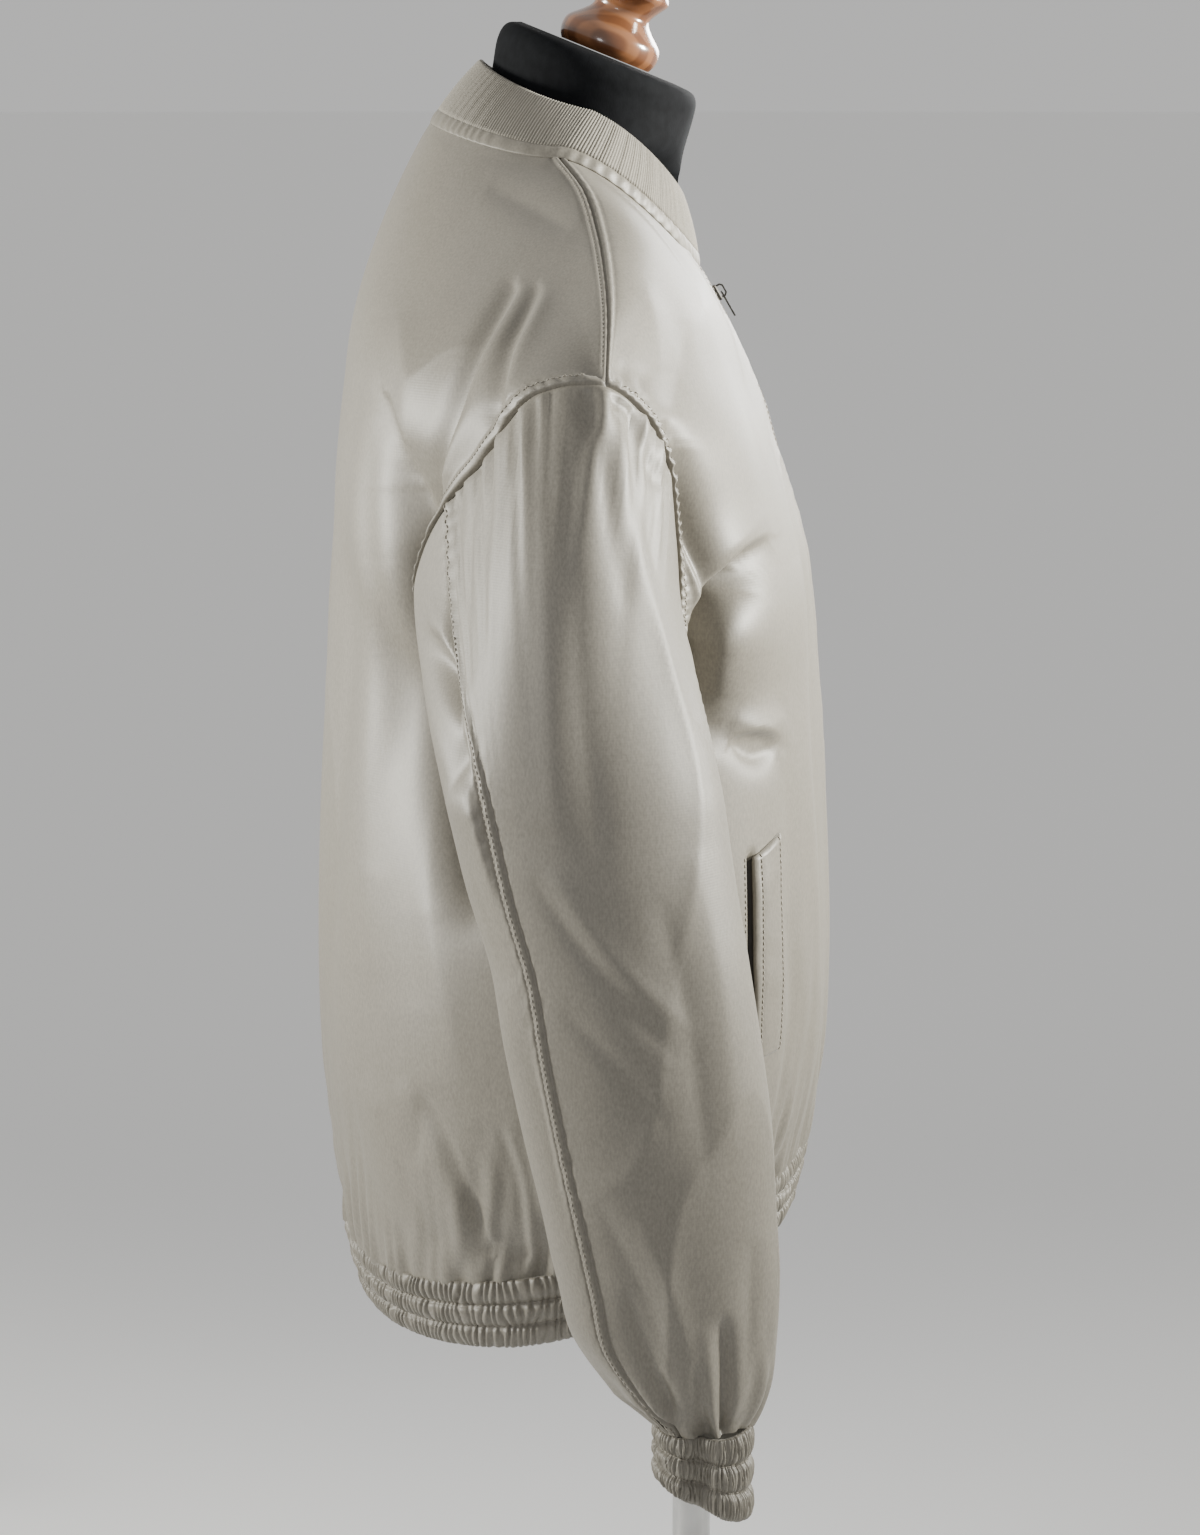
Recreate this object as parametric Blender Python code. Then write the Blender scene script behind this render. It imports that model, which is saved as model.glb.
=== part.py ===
"""Bomber jacket with a rib collar, closed, on a limbless dress form and stand.

Metres, +Z up. The jacket's front faces -Y and its wearer's left is +X. The origin is on
the floor, under the stand's pole.
"""
import math

import bmesh
import bpy
import numpy as np

# ---------------------------------------------------------------- driving sizes
WALL = 0.0016              # cloth, with what is turned in behind it
RIB_WALL = 0.0026          # double rib knit of the collar
SEAM_GAP = 0.0003          # between pieces that meet at a seam
ZIP_HALF = 0.0025          # half the width of the zip's chain
ZIP_THICK = 0.0020
COLLAR_END = 0.0008        # half the gap between the collar's front ends
SEAM_TRIM = 0.000225       # what each of two pieces gives up at a seam

WELT_ROWS = (3, 7)         # rows of the front panel, counted from the hem, that its pocket spans
WELT_COLUMN = 4            # and the facet from the side seam that the welt lies on
WELT_INSET = 0.0012
WELT_LIFT = 0.0006
WELT_THICK = 0.0020

HEM_HEIGHT = 0.042         # gathered band at the hem
HEM_LEVEL = 0.351          # height of the hem seam where y is 0
HEM_SLOPE = 0.200          # the hem seam falls this much per metre towards the back
HEM_CENTRE_Y = 0.066
HEM_TAPER = 0.070          # share by which the band's lower edge is drawn in
HEM_BACK_LIFT = 0.006      # the band is this much lower at the back
HEM_PLEATS = 120
CUFF_PLEATS = 36
PLEAT_DEPTH = 0.0022       # from a pleat's ridge to its valley

BODY_COLUMNS = 9           # facets from a side edge to the centre line
SIDE_ROWS = 9              # facets up the side seam
ARMHOLE_ROWS = 12          # facets up each half of an armhole
SHOULDER_ROWS = 6          # facets along the shoulder seam
CAP_ROWS = 7               # facets from the armhole down to the upper arm
ARM_ROWS = 13              # facets from there to the cuff

# Side seam: height, half width, y
SIDE_SEAM = np.array([
    (0.336, 0.206, 0.075),
    (0.365, 0.220, 0.073),
    (0.410, 0.231, 0.071),
    (0.455, 0.232, 0.070),
    (0.510, 0.227, 0.070),
    (0.570, 0.219, 0.070),
    (0.630, 0.214, 0.070),
])

# Armhole seam: angle round the sleeve (0 front, 90 outside, 180 back, 270 underarm), half width, y, height
ARMHOLE = np.array([
    (90, 0.270, 0.0506, 0.806),
    (105, 0.268, 0.0780, 0.804),
    (118, 0.260, 0.0950, 0.792),
    (126, 0.244, 0.1100, 0.768),
    (135, 0.220, 0.1305, 0.742),
    (150, 0.194, 0.1460, 0.708),
    (165, 0.189, 0.1465, 0.688),
    (180, 0.190, 0.1390, 0.668),
    (210, 0.201, 0.1180, 0.645),
    (240, 0.211, 0.0930, 0.633),
    (270, 0.214, 0.0700, 0.630),
    (300, 0.215, 0.0400, 0.640),
    (330, 0.216, 0.0185, 0.662),
    (360, 0.220, 0.0145, 0.695),
    (390, 0.230, 0.0160, 0.732),
    (420, 0.246, 0.0220, 0.772),
    (435, 0.257, 0.0310, 0.790),
])

# Shoulder seam, from the armhole to the neck: half width, y, height
SHOULDER_SEAM = np.array([
    (0.270, 0.0506, 0.806),
    (0.235, 0.0496, 0.837),
    (0.200, 0.0515, 0.859),
    (0.165, 0.0550, 0.876),
    (0.130, 0.0615, 0.894),
    (0.092, 0.0745, 0.9095),
])

# Centre lines: height, y
BACK_CENTRE = np.array([
    (0.311, 0.1975), (0.345, 0.2030), (0.380, 0.2080), (0.420, 0.2115), (0.470, 0.2127),
    (0.535, 0.2117), (0.600, 0.2075), (0.660, 0.2040), (0.720, 0.1995), (0.777, 0.1950),
    (0.823, 0.1900), (0.863, 0.1784), (0.9025, 0.1606), (0.926, 0.1465),
])
FRONT_CENTRE = np.array([
    (0.364, -0.0640), (0.385, -0.0695), (0.411, -0.0736), (0.444, -0.0755), (0.490, -0.0748),
    (0.5755, -0.0696), (0.6619, -0.0637), (0.6938, -0.0605), (0.7132, -0.0554), (0.7404, -0.0469),
    (0.7641, -0.0400), (0.8009, -0.0262), (0.8331, -0.0099), (0.8477, -0.0011),
])

# How each row of a body panel runs from its edge to the centre line. Place along the edge (0 hem,
# 1 underarm, 2 shoulder end, 3 neck), height at the centre, direction in which the row leaves
# the edge, and how far it keeps to its directions at the edge and at the centre.
BACK_RUNS = np.array([
    (0.00, 0.3115, 0.00, 1.00, -0.20, 0.29, 0.57),
    (0.50, 0.4650, 0.00, 1.00, 0.00, 0.30, 0.60),
    (1.00, 0.6350, -0.10, 1.00, 0.05, 0.30, 0.60),
    (1.25, 0.6980, -0.35, 0.90, 0.10, 0.30, 0.58),
    (1.50, 0.7400, -0.50, 0.80, 0.20, 0.30, 0.55),
    (1.72, 0.7780, -0.68, 0.62, 0.36, 0.30, 0.55),
    (1.87, 0.8030, -0.72, 0.50, 0.42, 0.28, 0.55),
    (2.00, 0.8240, -0.66, 0.58, 0.48, 0.26, 0.52),
    (2.33, 0.8600, -0.50, 0.75, -0.05, 0.26, 0.50),
    (2.66, 0.8940, -0.20, 0.95, -0.12, 0.27, 0.52),
    (3.00, 0.9260, 0.00, 1.00, 0.00, 0.28, 0.55),
])
FRONT_RUNS = np.array([
    (0.00, 0.3638, 0.00, -1.00, 0.20, 0.29, 0.55),
    (0.50, 0.4850, 0.00, -1.00, 0.00, 0.33, 0.60),
    (1.00, 0.6250, -0.02, -1.00, 0.00, 0.34, 0.63),
    (1.25, 0.6700, -0.20, -1.00, 0.05, 0.27, 0.62),
    (1.50, 0.7150, -0.45, -0.88, 0.05, 0.23, 0.56),
    (1.75, 0.7550, -0.65, -0.65, 0.20, 0.23, 0.50),
    (2.00, 0.7850, -0.80, -0.40, 0.35, 0.23, 0.48),
    (2.33, 0.8060, -0.45, -0.85, -0.05, 0.26, 0.50),
    (2.66, 0.8270, -0.10, -1.00, -0.10, 0.28, 0.53),
    (3.00, 0.8477, 0.00, -1.00, -0.24, 0.28, 0.55),
])

# Sleeve below the upper arm: height, y of the front and of the back, inner and outer half width
ARM = np.array([
    (0.600, -0.0080, 0.1295, 0.232, 0.325),
    (0.560, -0.0138, 0.1200, 0.236, 0.329),
    (0.520, -0.0205, 0.1080, 0.241, 0.331),
    (0.480, -0.0265, 0.1015, 0.244, 0.331),
    (0.440, -0.0312, 0.0935, 0.246, 0.329),
    (0.400, -0.0330, 0.0840, 0.247, 0.326),
    (0.360, -0.0355, 0.0745, 0.247, 0.323),
    (0.330, -0.0348, 0.0665, 0.248, 0.320),
    (0.308, -0.0320, 0.0500, 0.251, 0.318),
    (0.285, -0.0225, 0.0255, 0.258, 0.316),
])
CAP_LEAVE = (0.60, 0.00, -0.80)   # direction in which the sleeve leaves the armhole
UNDER_LEAVE = (0.95, 0.00, -0.30)   # the same at the underarm
CAP_PULL = 0.90
ARM_PULL = 0.75

# Cuff: oval with a crease on its outer side, lower edge tilted down to the front
CUFF_HEIGHT = 0.038
CUFF_TILT = 0.45
CUFF_FINER = 0.8           # its pleats and wall against the hem band's
CREASE_ANGLE = 96.0
CREASE_WIDTH = 17.0
CREASE_DEPTH = 0.0065

# Collar's top edge: side, back and front points (half width, y, height)
COLLAR_SIDE = (0.0665, 0.0580, 0.9345)
COLLAR_BACK = (0.0, 0.1185, 0.9605)
COLLAR_FRONT = (0.0, 0.0080, 0.8870)
COLLAR_COLUMNS = 10        # facets from a shoulder to the centre
COLLAR_SWELL = 0.0015      # how far the collar rounds out between its edges
COLLAR_MIDDLE = (0.0, 0.062, 0.86)
# Rows of both pieces, as shares of the height from the neck seam to the collar's top edge
NECK_BAND_SHARES = (0.0, 0.20)
COLLAR_SHARES = (0.20, 0.45, 0.72, 1.0)


def smooth(knots, values, at):
    """Cubic curve through the values, read at the given places."""
    knots = np.asarray(knots, float)
    values = np.asarray(values, float)
    at = np.asarray(at, float)
    slopes = np.gradient(values, knots, axis=0)
    i = np.clip(np.searchsorted(knots, at, side="right") - 1, 0, len(knots) - 2)
    step = knots[i + 1] - knots[i]
    u = (at - knots[i]) / step
    if values.ndim > 1:
        step = step[..., None]
        u = u[..., None]
    start = (1 + 2 * u) * (1 - u) ** 2 * values[i] + u * (1 - u) ** 2 * step * slopes[i]
    end = u * u * (3 - 2 * u) * values[i + 1] + u * u * (u - 1) * step * slopes[i + 1]
    return start + end


def unit(vectors):
    return vectors / np.maximum(np.linalg.norm(vectors, axis=-1, keepdims=True), 1e-12)


def arc(start, first, second, end, ts):
    """Bezier curves from start to end, one row for each start point."""
    t = ts[None, :, None]
    return ((1 - t) ** 3 * start[:, None] + 3 * (1 - t) ** 2 * t * first[:, None]
            + 3 * (1 - t) * t ** 2 * second[:, None] + t ** 3 * end[:, None])


# ---------------------------------------------------------------- seams
def armhole_point(angle):
    around = np.vstack([ARMHOLE[-2:] - (360, 0, 0, 0), ARMHOLE, ARMHOLE[:2] + (360, 0, 0, 0)])
    return smooth(around[:, 0], around[:, 1:], angle)


def edge_points(places, back):
    """A panel's edge: up the side seam, round its half of the armhole, along the shoulder."""
    points = np.zeros((len(places), 3))
    side = places <= 1
    height = SIDE_SEAM[0, 0] + (SIDE_SEAM[-1, 0] - SIDE_SEAM[0, 0]) * places[side]
    points[side] = np.column_stack([smooth(SIDE_SEAM[:, 0], SIDE_SEAM[:, 1:], height), height])
    hole = (places > 1) & (places <= 2)
    turn = 180 * (places[hole] - 1)
    points[hole] = armhole_point(270 - turn if back else 270 + turn)
    top = places > 2
    along = (places[top] - 2) * (len(SHOULDER_SEAM) - 1)
    points[top] = smooth(np.arange(len(SHOULDER_SEAM)), SHOULDER_SEAM, along)
    return points


def panel_half(places, ts, back):
    """Half of the body, from its left edge to the centre line, as rows of points."""
    runs = BACK_RUNS if back else FRONT_RUNS
    centre = BACK_CENTRE if back else FRONT_CENTRE
    run = smooth(runs[:, 0], runs[:, 1:], places)
    edge = edge_points(places, back)
    end = np.zeros_like(edge)
    end[:, 0] = 0 if back else ZIP_HALF + SEAM_GAP
    end[:, 1] = smooth(centre[:, 0], centre[:, 1], run[:, 0])
    end[:, 2] = run[:, 0]
    span = np.linalg.norm(end - edge, axis=1, keepdims=True)
    first = edge + run[:, 1:4] * run[:, 4:5] * span
    second = end.copy()
    second[:, 0] += run[:, 5] * edge[:, 0]
    return arc(edge, first, second, end, ts)


def row_places():
    side = np.linspace(0, 1, SIDE_ROWS + 1)
    hole = np.linspace(1, 2, ARMHOLE_ROWS + 1)[1:]
    top = np.linspace(2, 3, SHOULDER_ROWS + 1)[1:]
    return np.concatenate([side, hole, top])


def mirrored(points):
    return points * (-1, 1, 1)


def back_grid():
    half = panel_half(row_places(), np.linspace(0, 1, BODY_COLUMNS + 1), True)
    return np.concatenate([half, mirrored(half)[:, -2::-1]], axis=1)


def front_grid(side):
    half = panel_half(row_places(), np.linspace(0, 1, BODY_COLUMNS + 1), False)
    return half if side > 0 else mirrored(half)


# ---------------------------------------------------------------- sleeves
def arm_oval(height, angles):
    """Section of the sleeve at a height, with its crease coming in towards the cuff."""
    front, back, inner, outer = smooth(-ARM[:, 0], ARM[:, 1:], np.full(1, -height))[0]
    turn = np.radians(angles)
    x = (inner + outer) / 2 + (outer - inner) / 2 * np.sin(turn)
    y = (front + back) / 2 - (back - front) / 2 * np.cos(turn)
    near_cuff = np.clip((ARM[-2, 0] - height) / (ARM[-2, 0] - ARM[-1, 0]), 0, 1)
    x = x - CREASE_DEPTH * near_cuff * np.exp(-((angles % 360 - CREASE_ANGLE) / CREASE_WIDTH) ** 2)
    return np.column_stack([x, y, np.full_like(x, height)])


def sleeve_grid(angles, side):
    """Rows of points from the armhole to the cuff, for angles round the sleeve."""
    hole = armhole_point(angles % 360 + np.where(angles % 360 < 90, 360, 0))
    upper = arm_oval(ARM[0, 0], angles)
    below = arm_oval(ARM[0, 0] - 0.01, angles)
    reach = np.linalg.norm(upper - hole, axis=1, keepdims=True)
    under = np.clip(-np.sin(np.radians(angles)), 0, 1)[:, None]
    leave = np.array(CAP_LEAVE) * (1 - under) + np.array(UNDER_LEAVE) * under
    first = hole + leave * reach * CAP_PULL / 3
    second = upper - unit(below - upper) * reach * ARM_PULL / 3
    cap = arc(hole, first, second, upper, np.linspace(0, 1, CAP_ROWS + 1)).transpose(1, 0, 2)
    heights = np.linspace(0, 1, ARM_ROWS + 1)[1:] ** 0.85
    heights = ARM[0, 0] + (ARM[-1, 0] - ARM[0, 0]) * heights
    grid = np.concatenate([cap, [arm_oval(height, angles) for height in heights]])
    return grid if side > 0 else mirrored(grid)


# ---------------------------------------------------------------- collar
def neck_curve(ts, back, end_x):
    """Half of the neck seam, from the shoulder to the centre."""
    half = panel_half(np.array([3.0]), ts, back)[0]
    if not back:
        half[:, 0] += (end_x - ZIP_HALF - SEAM_GAP) * ts ** 3
    return half


def collar_top(ts, back, end_x):
    side = np.array([COLLAR_SIDE])
    end = np.array([COLLAR_BACK if back else COLLAR_FRONT])
    if not back:
        end[0, 0] = end_x
    fall = end - side
    first = side + fall * (0, 0.5523, 0.25)
    second = end - fall * (0.5523, 0, 0.10)
    return arc(side, first, second, end, ts)[0]


def around_neck(curve):
    """A whole collar edge, from the right front end round the back to the left front end."""
    ts = np.linspace(0, 1, COLLAR_COLUMNS + 1)
    back = curve(ts, True, 0.0)
    front = curve(ts, False, COLLAR_END)
    left = np.concatenate([back[::-1], front[1:]])
    return np.concatenate([mirrored(left)[:0:-1], left])


# ---------------------------------------------------------------- meshes
def grid_normals(grid, closed=False):
    """Unit normals of a grid, not yet turned outwards."""
    if closed:
        wide = np.concatenate([grid[:, -1:], grid, grid[:, :1]], axis=1)
        across = np.gradient(wide, axis=1)[:, 1:-1]
    else:
        across = np.gradient(grid, axis=1)
    return unit(np.cross(across, np.gradient(grid, axis=0)))


def outward(grid, middle, closed=False):
    normals = grid_normals(grid, closed)
    away = np.sum(normals * (grid - middle), axis=-1)
    return normals if away.mean() > 0 else -normals


def inward(edge, beside):
    """Directions square to an edge, towards the points beside it."""
    along = unit(np.gradient(edge, axis=0))
    step = beside - edge
    return unit(step - along * np.sum(step * along, axis=-1, keepdims=True))


def trimmed(grid, gap, sides="tblr"):
    """The grid with its edges drawn in by a gap: t last row, b first row, l and r columns."""
    out = grid.copy()
    if "b" in sides:
        out[0] += inward(grid[0], grid[1]) * gap
    if "t" in sides:
        out[-1] += inward(grid[-1], grid[-2]) * gap
    if "l" in sides:
        out[:, 0] += inward(grid[:, 0], grid[:, 1]) * gap
    if "r" in sides:
        out[:, -1] += inward(grid[:, -1], grid[:, -2]) * gap
    return out


def grid_faces(index, flip):
    """Two triangles a cell, all cut along the same diagonal."""
    a, b = index[:-1, :-1].ravel(), index[:-1, 1:].ravel()
    c, d = index[1:, 1:].ravel(), index[1:, :-1].ravel()
    faces = np.concatenate([np.column_stack([a, b, c]), np.column_stack([a, c, d])])
    return faces[:, ::-1] if flip else faces


def wall_faces(rows, columns, closed):
    """Faces of a wall whose outer points come first and whose inner points follow."""
    outer = np.arange(rows * columns).reshape(rows, columns)
    if closed:
        outer = np.concatenate([outer, outer[:, :1]], axis=1)
    inner = outer + rows * columns
    faces = [grid_faces(outer, False), grid_faces(inner, True)]
    faces.append(grid_faces(np.stack([inner[0], outer[0]]), False))
    faces.append(grid_faces(np.stack([outer[-1], inner[-1]]), False))
    if not closed:
        faces.append(grid_faces(np.stack([outer[:, 0], inner[:, 0]]), False))
        faces.append(grid_faces(np.stack([inner[:, -1], outer[:, -1]]), False))
    return np.concatenate(faces)


def face_outwards(bm):
    bmesh.ops.recalc_face_normals(bm, faces=bm.faces)
    if bm.calc_volume(signed=True) < 0:
        bmesh.ops.reverse_faces(bm, faces=bm.faces)


def new_object(name, vertices, faces, material, collection, smooth_angle=40):
    mesh = bpy.data.meshes.new(name)
    mesh.from_pydata([tuple(map(float, v)) for v in vertices], [], [tuple(map(int, f)) for f in faces])
    bm = bmesh.new()
    bm.from_mesh(mesh)
    face_outwards(bm)
    bm.to_mesh(mesh)
    bm.free()
    mesh.shade_smooth()
    mesh.set_sharp_from_angle(angle=math.radians(smooth_angle))
    mesh.materials.append(material)
    obj = bpy.data.objects.new(name, mesh)
    collection.objects.link(obj)
    return obj


def wall(name, outer, inner, material, collection, closed=False):
    rows, columns = outer.shape[:2]
    vertices = np.concatenate([outer.reshape(-1, 3), inner.reshape(-1, 3)])
    return new_object(name, vertices, wall_faces(rows, columns, closed), material, collection)


def material(name, colour, roughness, metallic=0.0):
    made = bpy.data.materials.new(name)
    made.use_nodes = True
    shader = made.node_tree.nodes["Principled BSDF"]
    shader.inputs["Base Color"].default_value = (*colour, 1)
    shader.inputs["Roughness"].default_value = roughness
    shader.inputs["Metallic"].default_value = metallic
    return made


# ---------------------------------------------------------------- folds
# Largest folds, as seen from the wearer's right: piece, y and height of both ends, half width
# and depth (a trough is negative).
FOLDS = [
    ("front", -0.040, 0.705, 0.008, 0.655, 0.020, -0.010),
    ("front", 0.004, 0.655, -0.022, 0.610, 0.018, -0.007),
    ("front", -0.045, 0.680, -0.020, 0.640, 0.018, 0.006),
    ("front", 0.012, 0.820, 0.020, 0.775, 0.012, -0.005),
    ("back", 0.128, 0.790, 0.142, 0.730, 0.018, -0.009),
    ("back", 0.182, 0.790, 0.160, 0.700, 0.020, -0.008),
    ("back", 0.160, 0.690, 0.135, 0.600, 0.022, -0.012),
    ("sleeve", 0.118, 0.720, 0.112, 0.560, 0.010, -0.003),
    ("sleeve", -0.012, 0.335, -0.010, 0.285, 0.008, -0.006),
]


def pressed(grid, normals, piece, side):
    """Presses a piece's folds into one side of the body, fading where the cloth faces away."""
    depth = np.zeros(grid.shape[:2])
    facing = np.clip(normals[..., 0] * side * 2.5, 0, 1)
    facing *= np.clip(grid[..., 0] * side / 0.05, 0, 1)
    for name, y0, z0, y1, z1, width, amount in FOLDS:
        if name == piece:
            start = np.array([y0, z0])
            run = np.array([y1, z1]) - start
            at = grid[..., 1:] - start
            along = np.clip(at @ run / (run @ run), 0, 1)
            away = np.linalg.norm(at - along[..., None] * run, axis=-1) / width
            depth += amount * np.exp(-away ** 2) * facing
    depth[[0, -1], :] = 0
    depth[:, [0, -1]] = 0
    return grid + normals * depth[..., None]


# ---------------------------------------------------------------- cloth pieces
BODY_MIDDLE = (0.0, HEM_CENTRE_Y, 0.60)


def cloth_grids():
    """Outer points of every panel that is sewn to another along shared points."""
    grids = {}
    back = back_grid()
    normals = outward(back, BODY_MIDDLE)
    back = pressed(back, normals, "back", -1)
    grids["back"] = pressed(back, normals, "back", 1)
    for side, word in ((-1, "right"), (1, "left")):
        front = front_grid(side)
        grids["front_" + word] = pressed(front, outward(front, BODY_MIDDLE), "front", side)
        middle = (side * 0.28, 0.045, 0.55)
        upper_angles = np.arange(-45, 136, 15.0)
        under_angles = np.arange(135, 316, 15.0)
        upper = sleeve_grid(upper_angles, side)
        grids["sleeve_upper_" + word] = pressed(upper, outward(upper, middle), "sleeve", side)
        grids["sleeve_under_" + word] = sleeve_grid(under_angles, side)
    return grids


def piece_middle(name):
    if "sleeve" not in name:
        return BODY_MIDDLE
    return (-0.28 if "right" in name else 0.28, 0.045, 0.55)


def border(grid):
    index = np.zeros(grid.shape[:2], bool)
    index[[0, -1], :] = True
    index[:, [0, -1]] = True
    return np.argwhere(index)


def seam_normals(grids):
    """Normals whose values at a seam are shared by the pieces that meet there, if nearly flat."""
    normals = {name: outward(grid, piece_middle(name)) for name, grid in grids.items()}
    meeting = {}
    for name, grid in grids.items():
        for i, j in border(grid):
            meeting.setdefault(tuple(np.round(grid[i, j], 5)), []).append(normals[name][i, j])
    for name, grid in grids.items():
        for i, j in border(grid):
            own = normals[name][i, j].copy()
            near = [other for other in meeting[tuple(np.round(grid[i, j], 5))] if own @ other > 0.3]
            normals[name][i, j] = unit(np.sum(near, axis=0))
    return normals


def build_cloth(cloth, collection):
    grids = cloth_grids()
    normals = seam_normals(grids)
    for name, grid in grids.items():
        outer = trimmed(grid, SEAM_TRIM)
        wall(name, outer, outer - normals[name] * WALL, cloth, collection)
    build_welts(grids, normals, cloth, collection)


def build_welts(grids, normals, cloth, collection):
    """Pocket welts: a strip on each front, one facet wide, made from the panel's points."""
    rows = slice(WELT_ROWS[0], WELT_ROWS[1] + 1)
    columns = slice(WELT_COLUMN, WELT_COLUMN + 2)
    for word in ("right", "left"):
        grid = trimmed(grids["front_" + word][rows, columns], WELT_INSET)
        lift = normals["front_" + word][rows, columns]
        inner = grid + lift * WELT_LIFT
        wall("pocket_welt_" + word, inner + lift * WELT_THICK, inner, cloth, collection)


def hem_curve(ts):
    """The hem seam as an open ring, from the right front end round the back to the left."""
    place = np.zeros(1)
    back = panel_half(place, ts, True)[0]
    front = panel_half(place, ts, False)[0]
    left = np.concatenate([back[::-1], front[1:]])
    return np.concatenate([mirrored(left)[:0:-1], left])


def even_curve(curve, count, closed=False):
    """The curve with its points spread evenly."""
    if closed:
        curve = np.concatenate([curve, curve[:1]])
    length = np.concatenate([[0], np.cumsum(np.linalg.norm(np.diff(curve, axis=0), axis=1))])
    at = np.linspace(0, length[-1], count + 1)
    points = np.column_stack([np.interp(at, length, curve[:, k]) for k in range(3)])
    return points[:-1] if closed else points


def pleated_band(name, rows, thickness, inner_step, closed, cloth, collection):
    """A casing gathered on elastic. rows are (points, outward directions, pleat share)."""
    outer = []
    for points, away, share in rows:
        wave = np.where(np.arange(len(points)) % 2 == 0, 0.5, -0.5) * PLEAT_DEPTH * share
        outer.append(points + away * wave[:, None])
    outer = np.array(outer)
    inner = np.array([rows[k][0][::inner_step] - rows[k][1][::inner_step] * thickness for k in (0, -1)])
    row_count, columns = outer.shape[:2]
    index = np.arange(row_count * columns).reshape(row_count, columns)
    inside = np.arange(inner.shape[0] * inner.shape[1]).reshape(inner.shape[:2]) + index.size
    if closed:
        index = np.concatenate([index, index[:, :1]], axis=1)
        inside = np.concatenate([inside, inside[:, :1]], axis=1)
    faces = [tuple(face) for face in grid_faces(index, False)]
    faces += [tuple(face) for face in grid_faces(inside, True)]
    for edge, rim in ((index[0], inside[0]), (index[-1], inside[-1])):
        for j in range(len(rim) - 1):
            near = edge[j * inner_step:(j + 1) * inner_step + 1]
            faces += [(rim[j], near[k], near[k + 1]) for k in range(inner_step)]
            faces.append((rim[j], near[-1], rim[j + 1]))
    if not closed:
        for end in (0, -1):
            loop = [index[k, end] for k in range(row_count)] + [inside[-1, end], inside[0, end]]
            faces += [(loop[-1], loop[k], loop[k + 1]) for k in range(len(loop) - 2)]
    vertices = np.concatenate([outer.reshape(-1, 3), inner.reshape(-1, 3)])
    return new_object(name, vertices, faces, cloth, collection, 60)


# Rows of a gathered band: share of its height, how far it stands out, share of the pleats' depth
BAND_ROWS = [
    (0.00, 0.0000, 1.0),
    (0.27, -0.0008, 0.3),
    (0.48, 0.0008, 1.0),
    (0.70, -0.0008, 0.3),
    (1.00, 0.0004, 1.0),
]
BAND_WALL = 0.0028         # from the middle of the pleats to the plain inner side


def band_height(y):
    """Height of the hem band, which is pulled up a little at the back."""
    return HEM_HEIGHT - HEM_BACK_LIFT * np.clip((y - 0.10) / 0.10, 0, 1)


def build_hem(cloth, collection):
    seam = even_curve(hem_curve(np.linspace(0, 1, 60)), 2 * HEM_PLEATS)
    seam[:, 0] = np.where(np.arange(len(seam)) == 0, -ZIP_HALF - SEAM_GAP, seam[:, 0])
    seam[-1, 0] = ZIP_HALF + SEAM_GAP
    middle = np.array([0.0, HEM_CENTRE_Y, 0.0])
    away = unit((seam - middle) * (1, 1, 0))
    away[0] = away[-1] = (0, -1, 0)
    rows = []
    for share, stand, pleat in BAND_ROWS:
        drawn = HEM_TAPER * share ** 1.5
        points = seam - (seam - middle) * (drawn, drawn, 0)
        points[[0, -1], 0] = seam[[0, -1], 0]
        points = points + away * stand
        points[:, 2] -= SEAM_GAP + share * band_height(seam[:, 1])
        rows.append((points, away, pleat))
    pleated_band("hem_band", rows, BAND_WALL, 4, False, cloth, collection)


def build_cuffs(cloth, collection):
    angles = np.linspace(0, 360, 97)[:-1]
    seam = even_curve(arm_oval(ARM[-1, 0], angles), 2 * CUFF_PLEATS, closed=True)
    middle = seam.mean(axis=0)
    following = np.roll(seam, -1, axis=0) - np.roll(seam, 1, axis=0)
    away = unit(np.column_stack([-following[:, 1], following[:, 0], np.zeros(len(seam))]))
    away *= np.sign(np.sum(away * (seam - middle)))
    for side, word in ((-1, "right"), (1, "left")):
        rows = []
        for share, stand, pleat in BAND_ROWS:
            points = seam + away * stand
            drop = SEAM_GAP + share * (CUFF_HEIGHT - (points[:, 1] - middle[1]) * CUFF_TILT)
            points[:, 2] -= drop
            turn = (1, 1, 1) if side > 0 else (-1, 1, 1)
            rows.append((points * turn, away * turn, pleat * CUFF_FINER))
        pleated_band("cuff_" + word, rows, BAND_WALL * CUFF_FINER, 4, True, cloth, collection)


def build_collar(cloth, rib, collection):
    seam = around_neck(neck_curve)
    top = around_neck(collar_top)
    pieces = (("neck_band", NECK_BAND_SHARES, WALL, cloth), ("collar", COLLAR_SHARES, RIB_WALL, rib))
    for name, shares, thickness, finish in pieces:
        rows = np.array([seam + (top - seam) * share for share in shares])
        swell = np.array([4 * share * (1 - share) for share in shares]) * COLLAR_SWELL
        rows = rows + outward(rows, COLLAR_MIDDLE) * swell[:, None, None]
        rows = trimmed(rows, SEAM_GAP, "b")
        wall(name, rows, rows - outward(rows, COLLAR_MIDDLE) * thickness, finish, collection)


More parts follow.
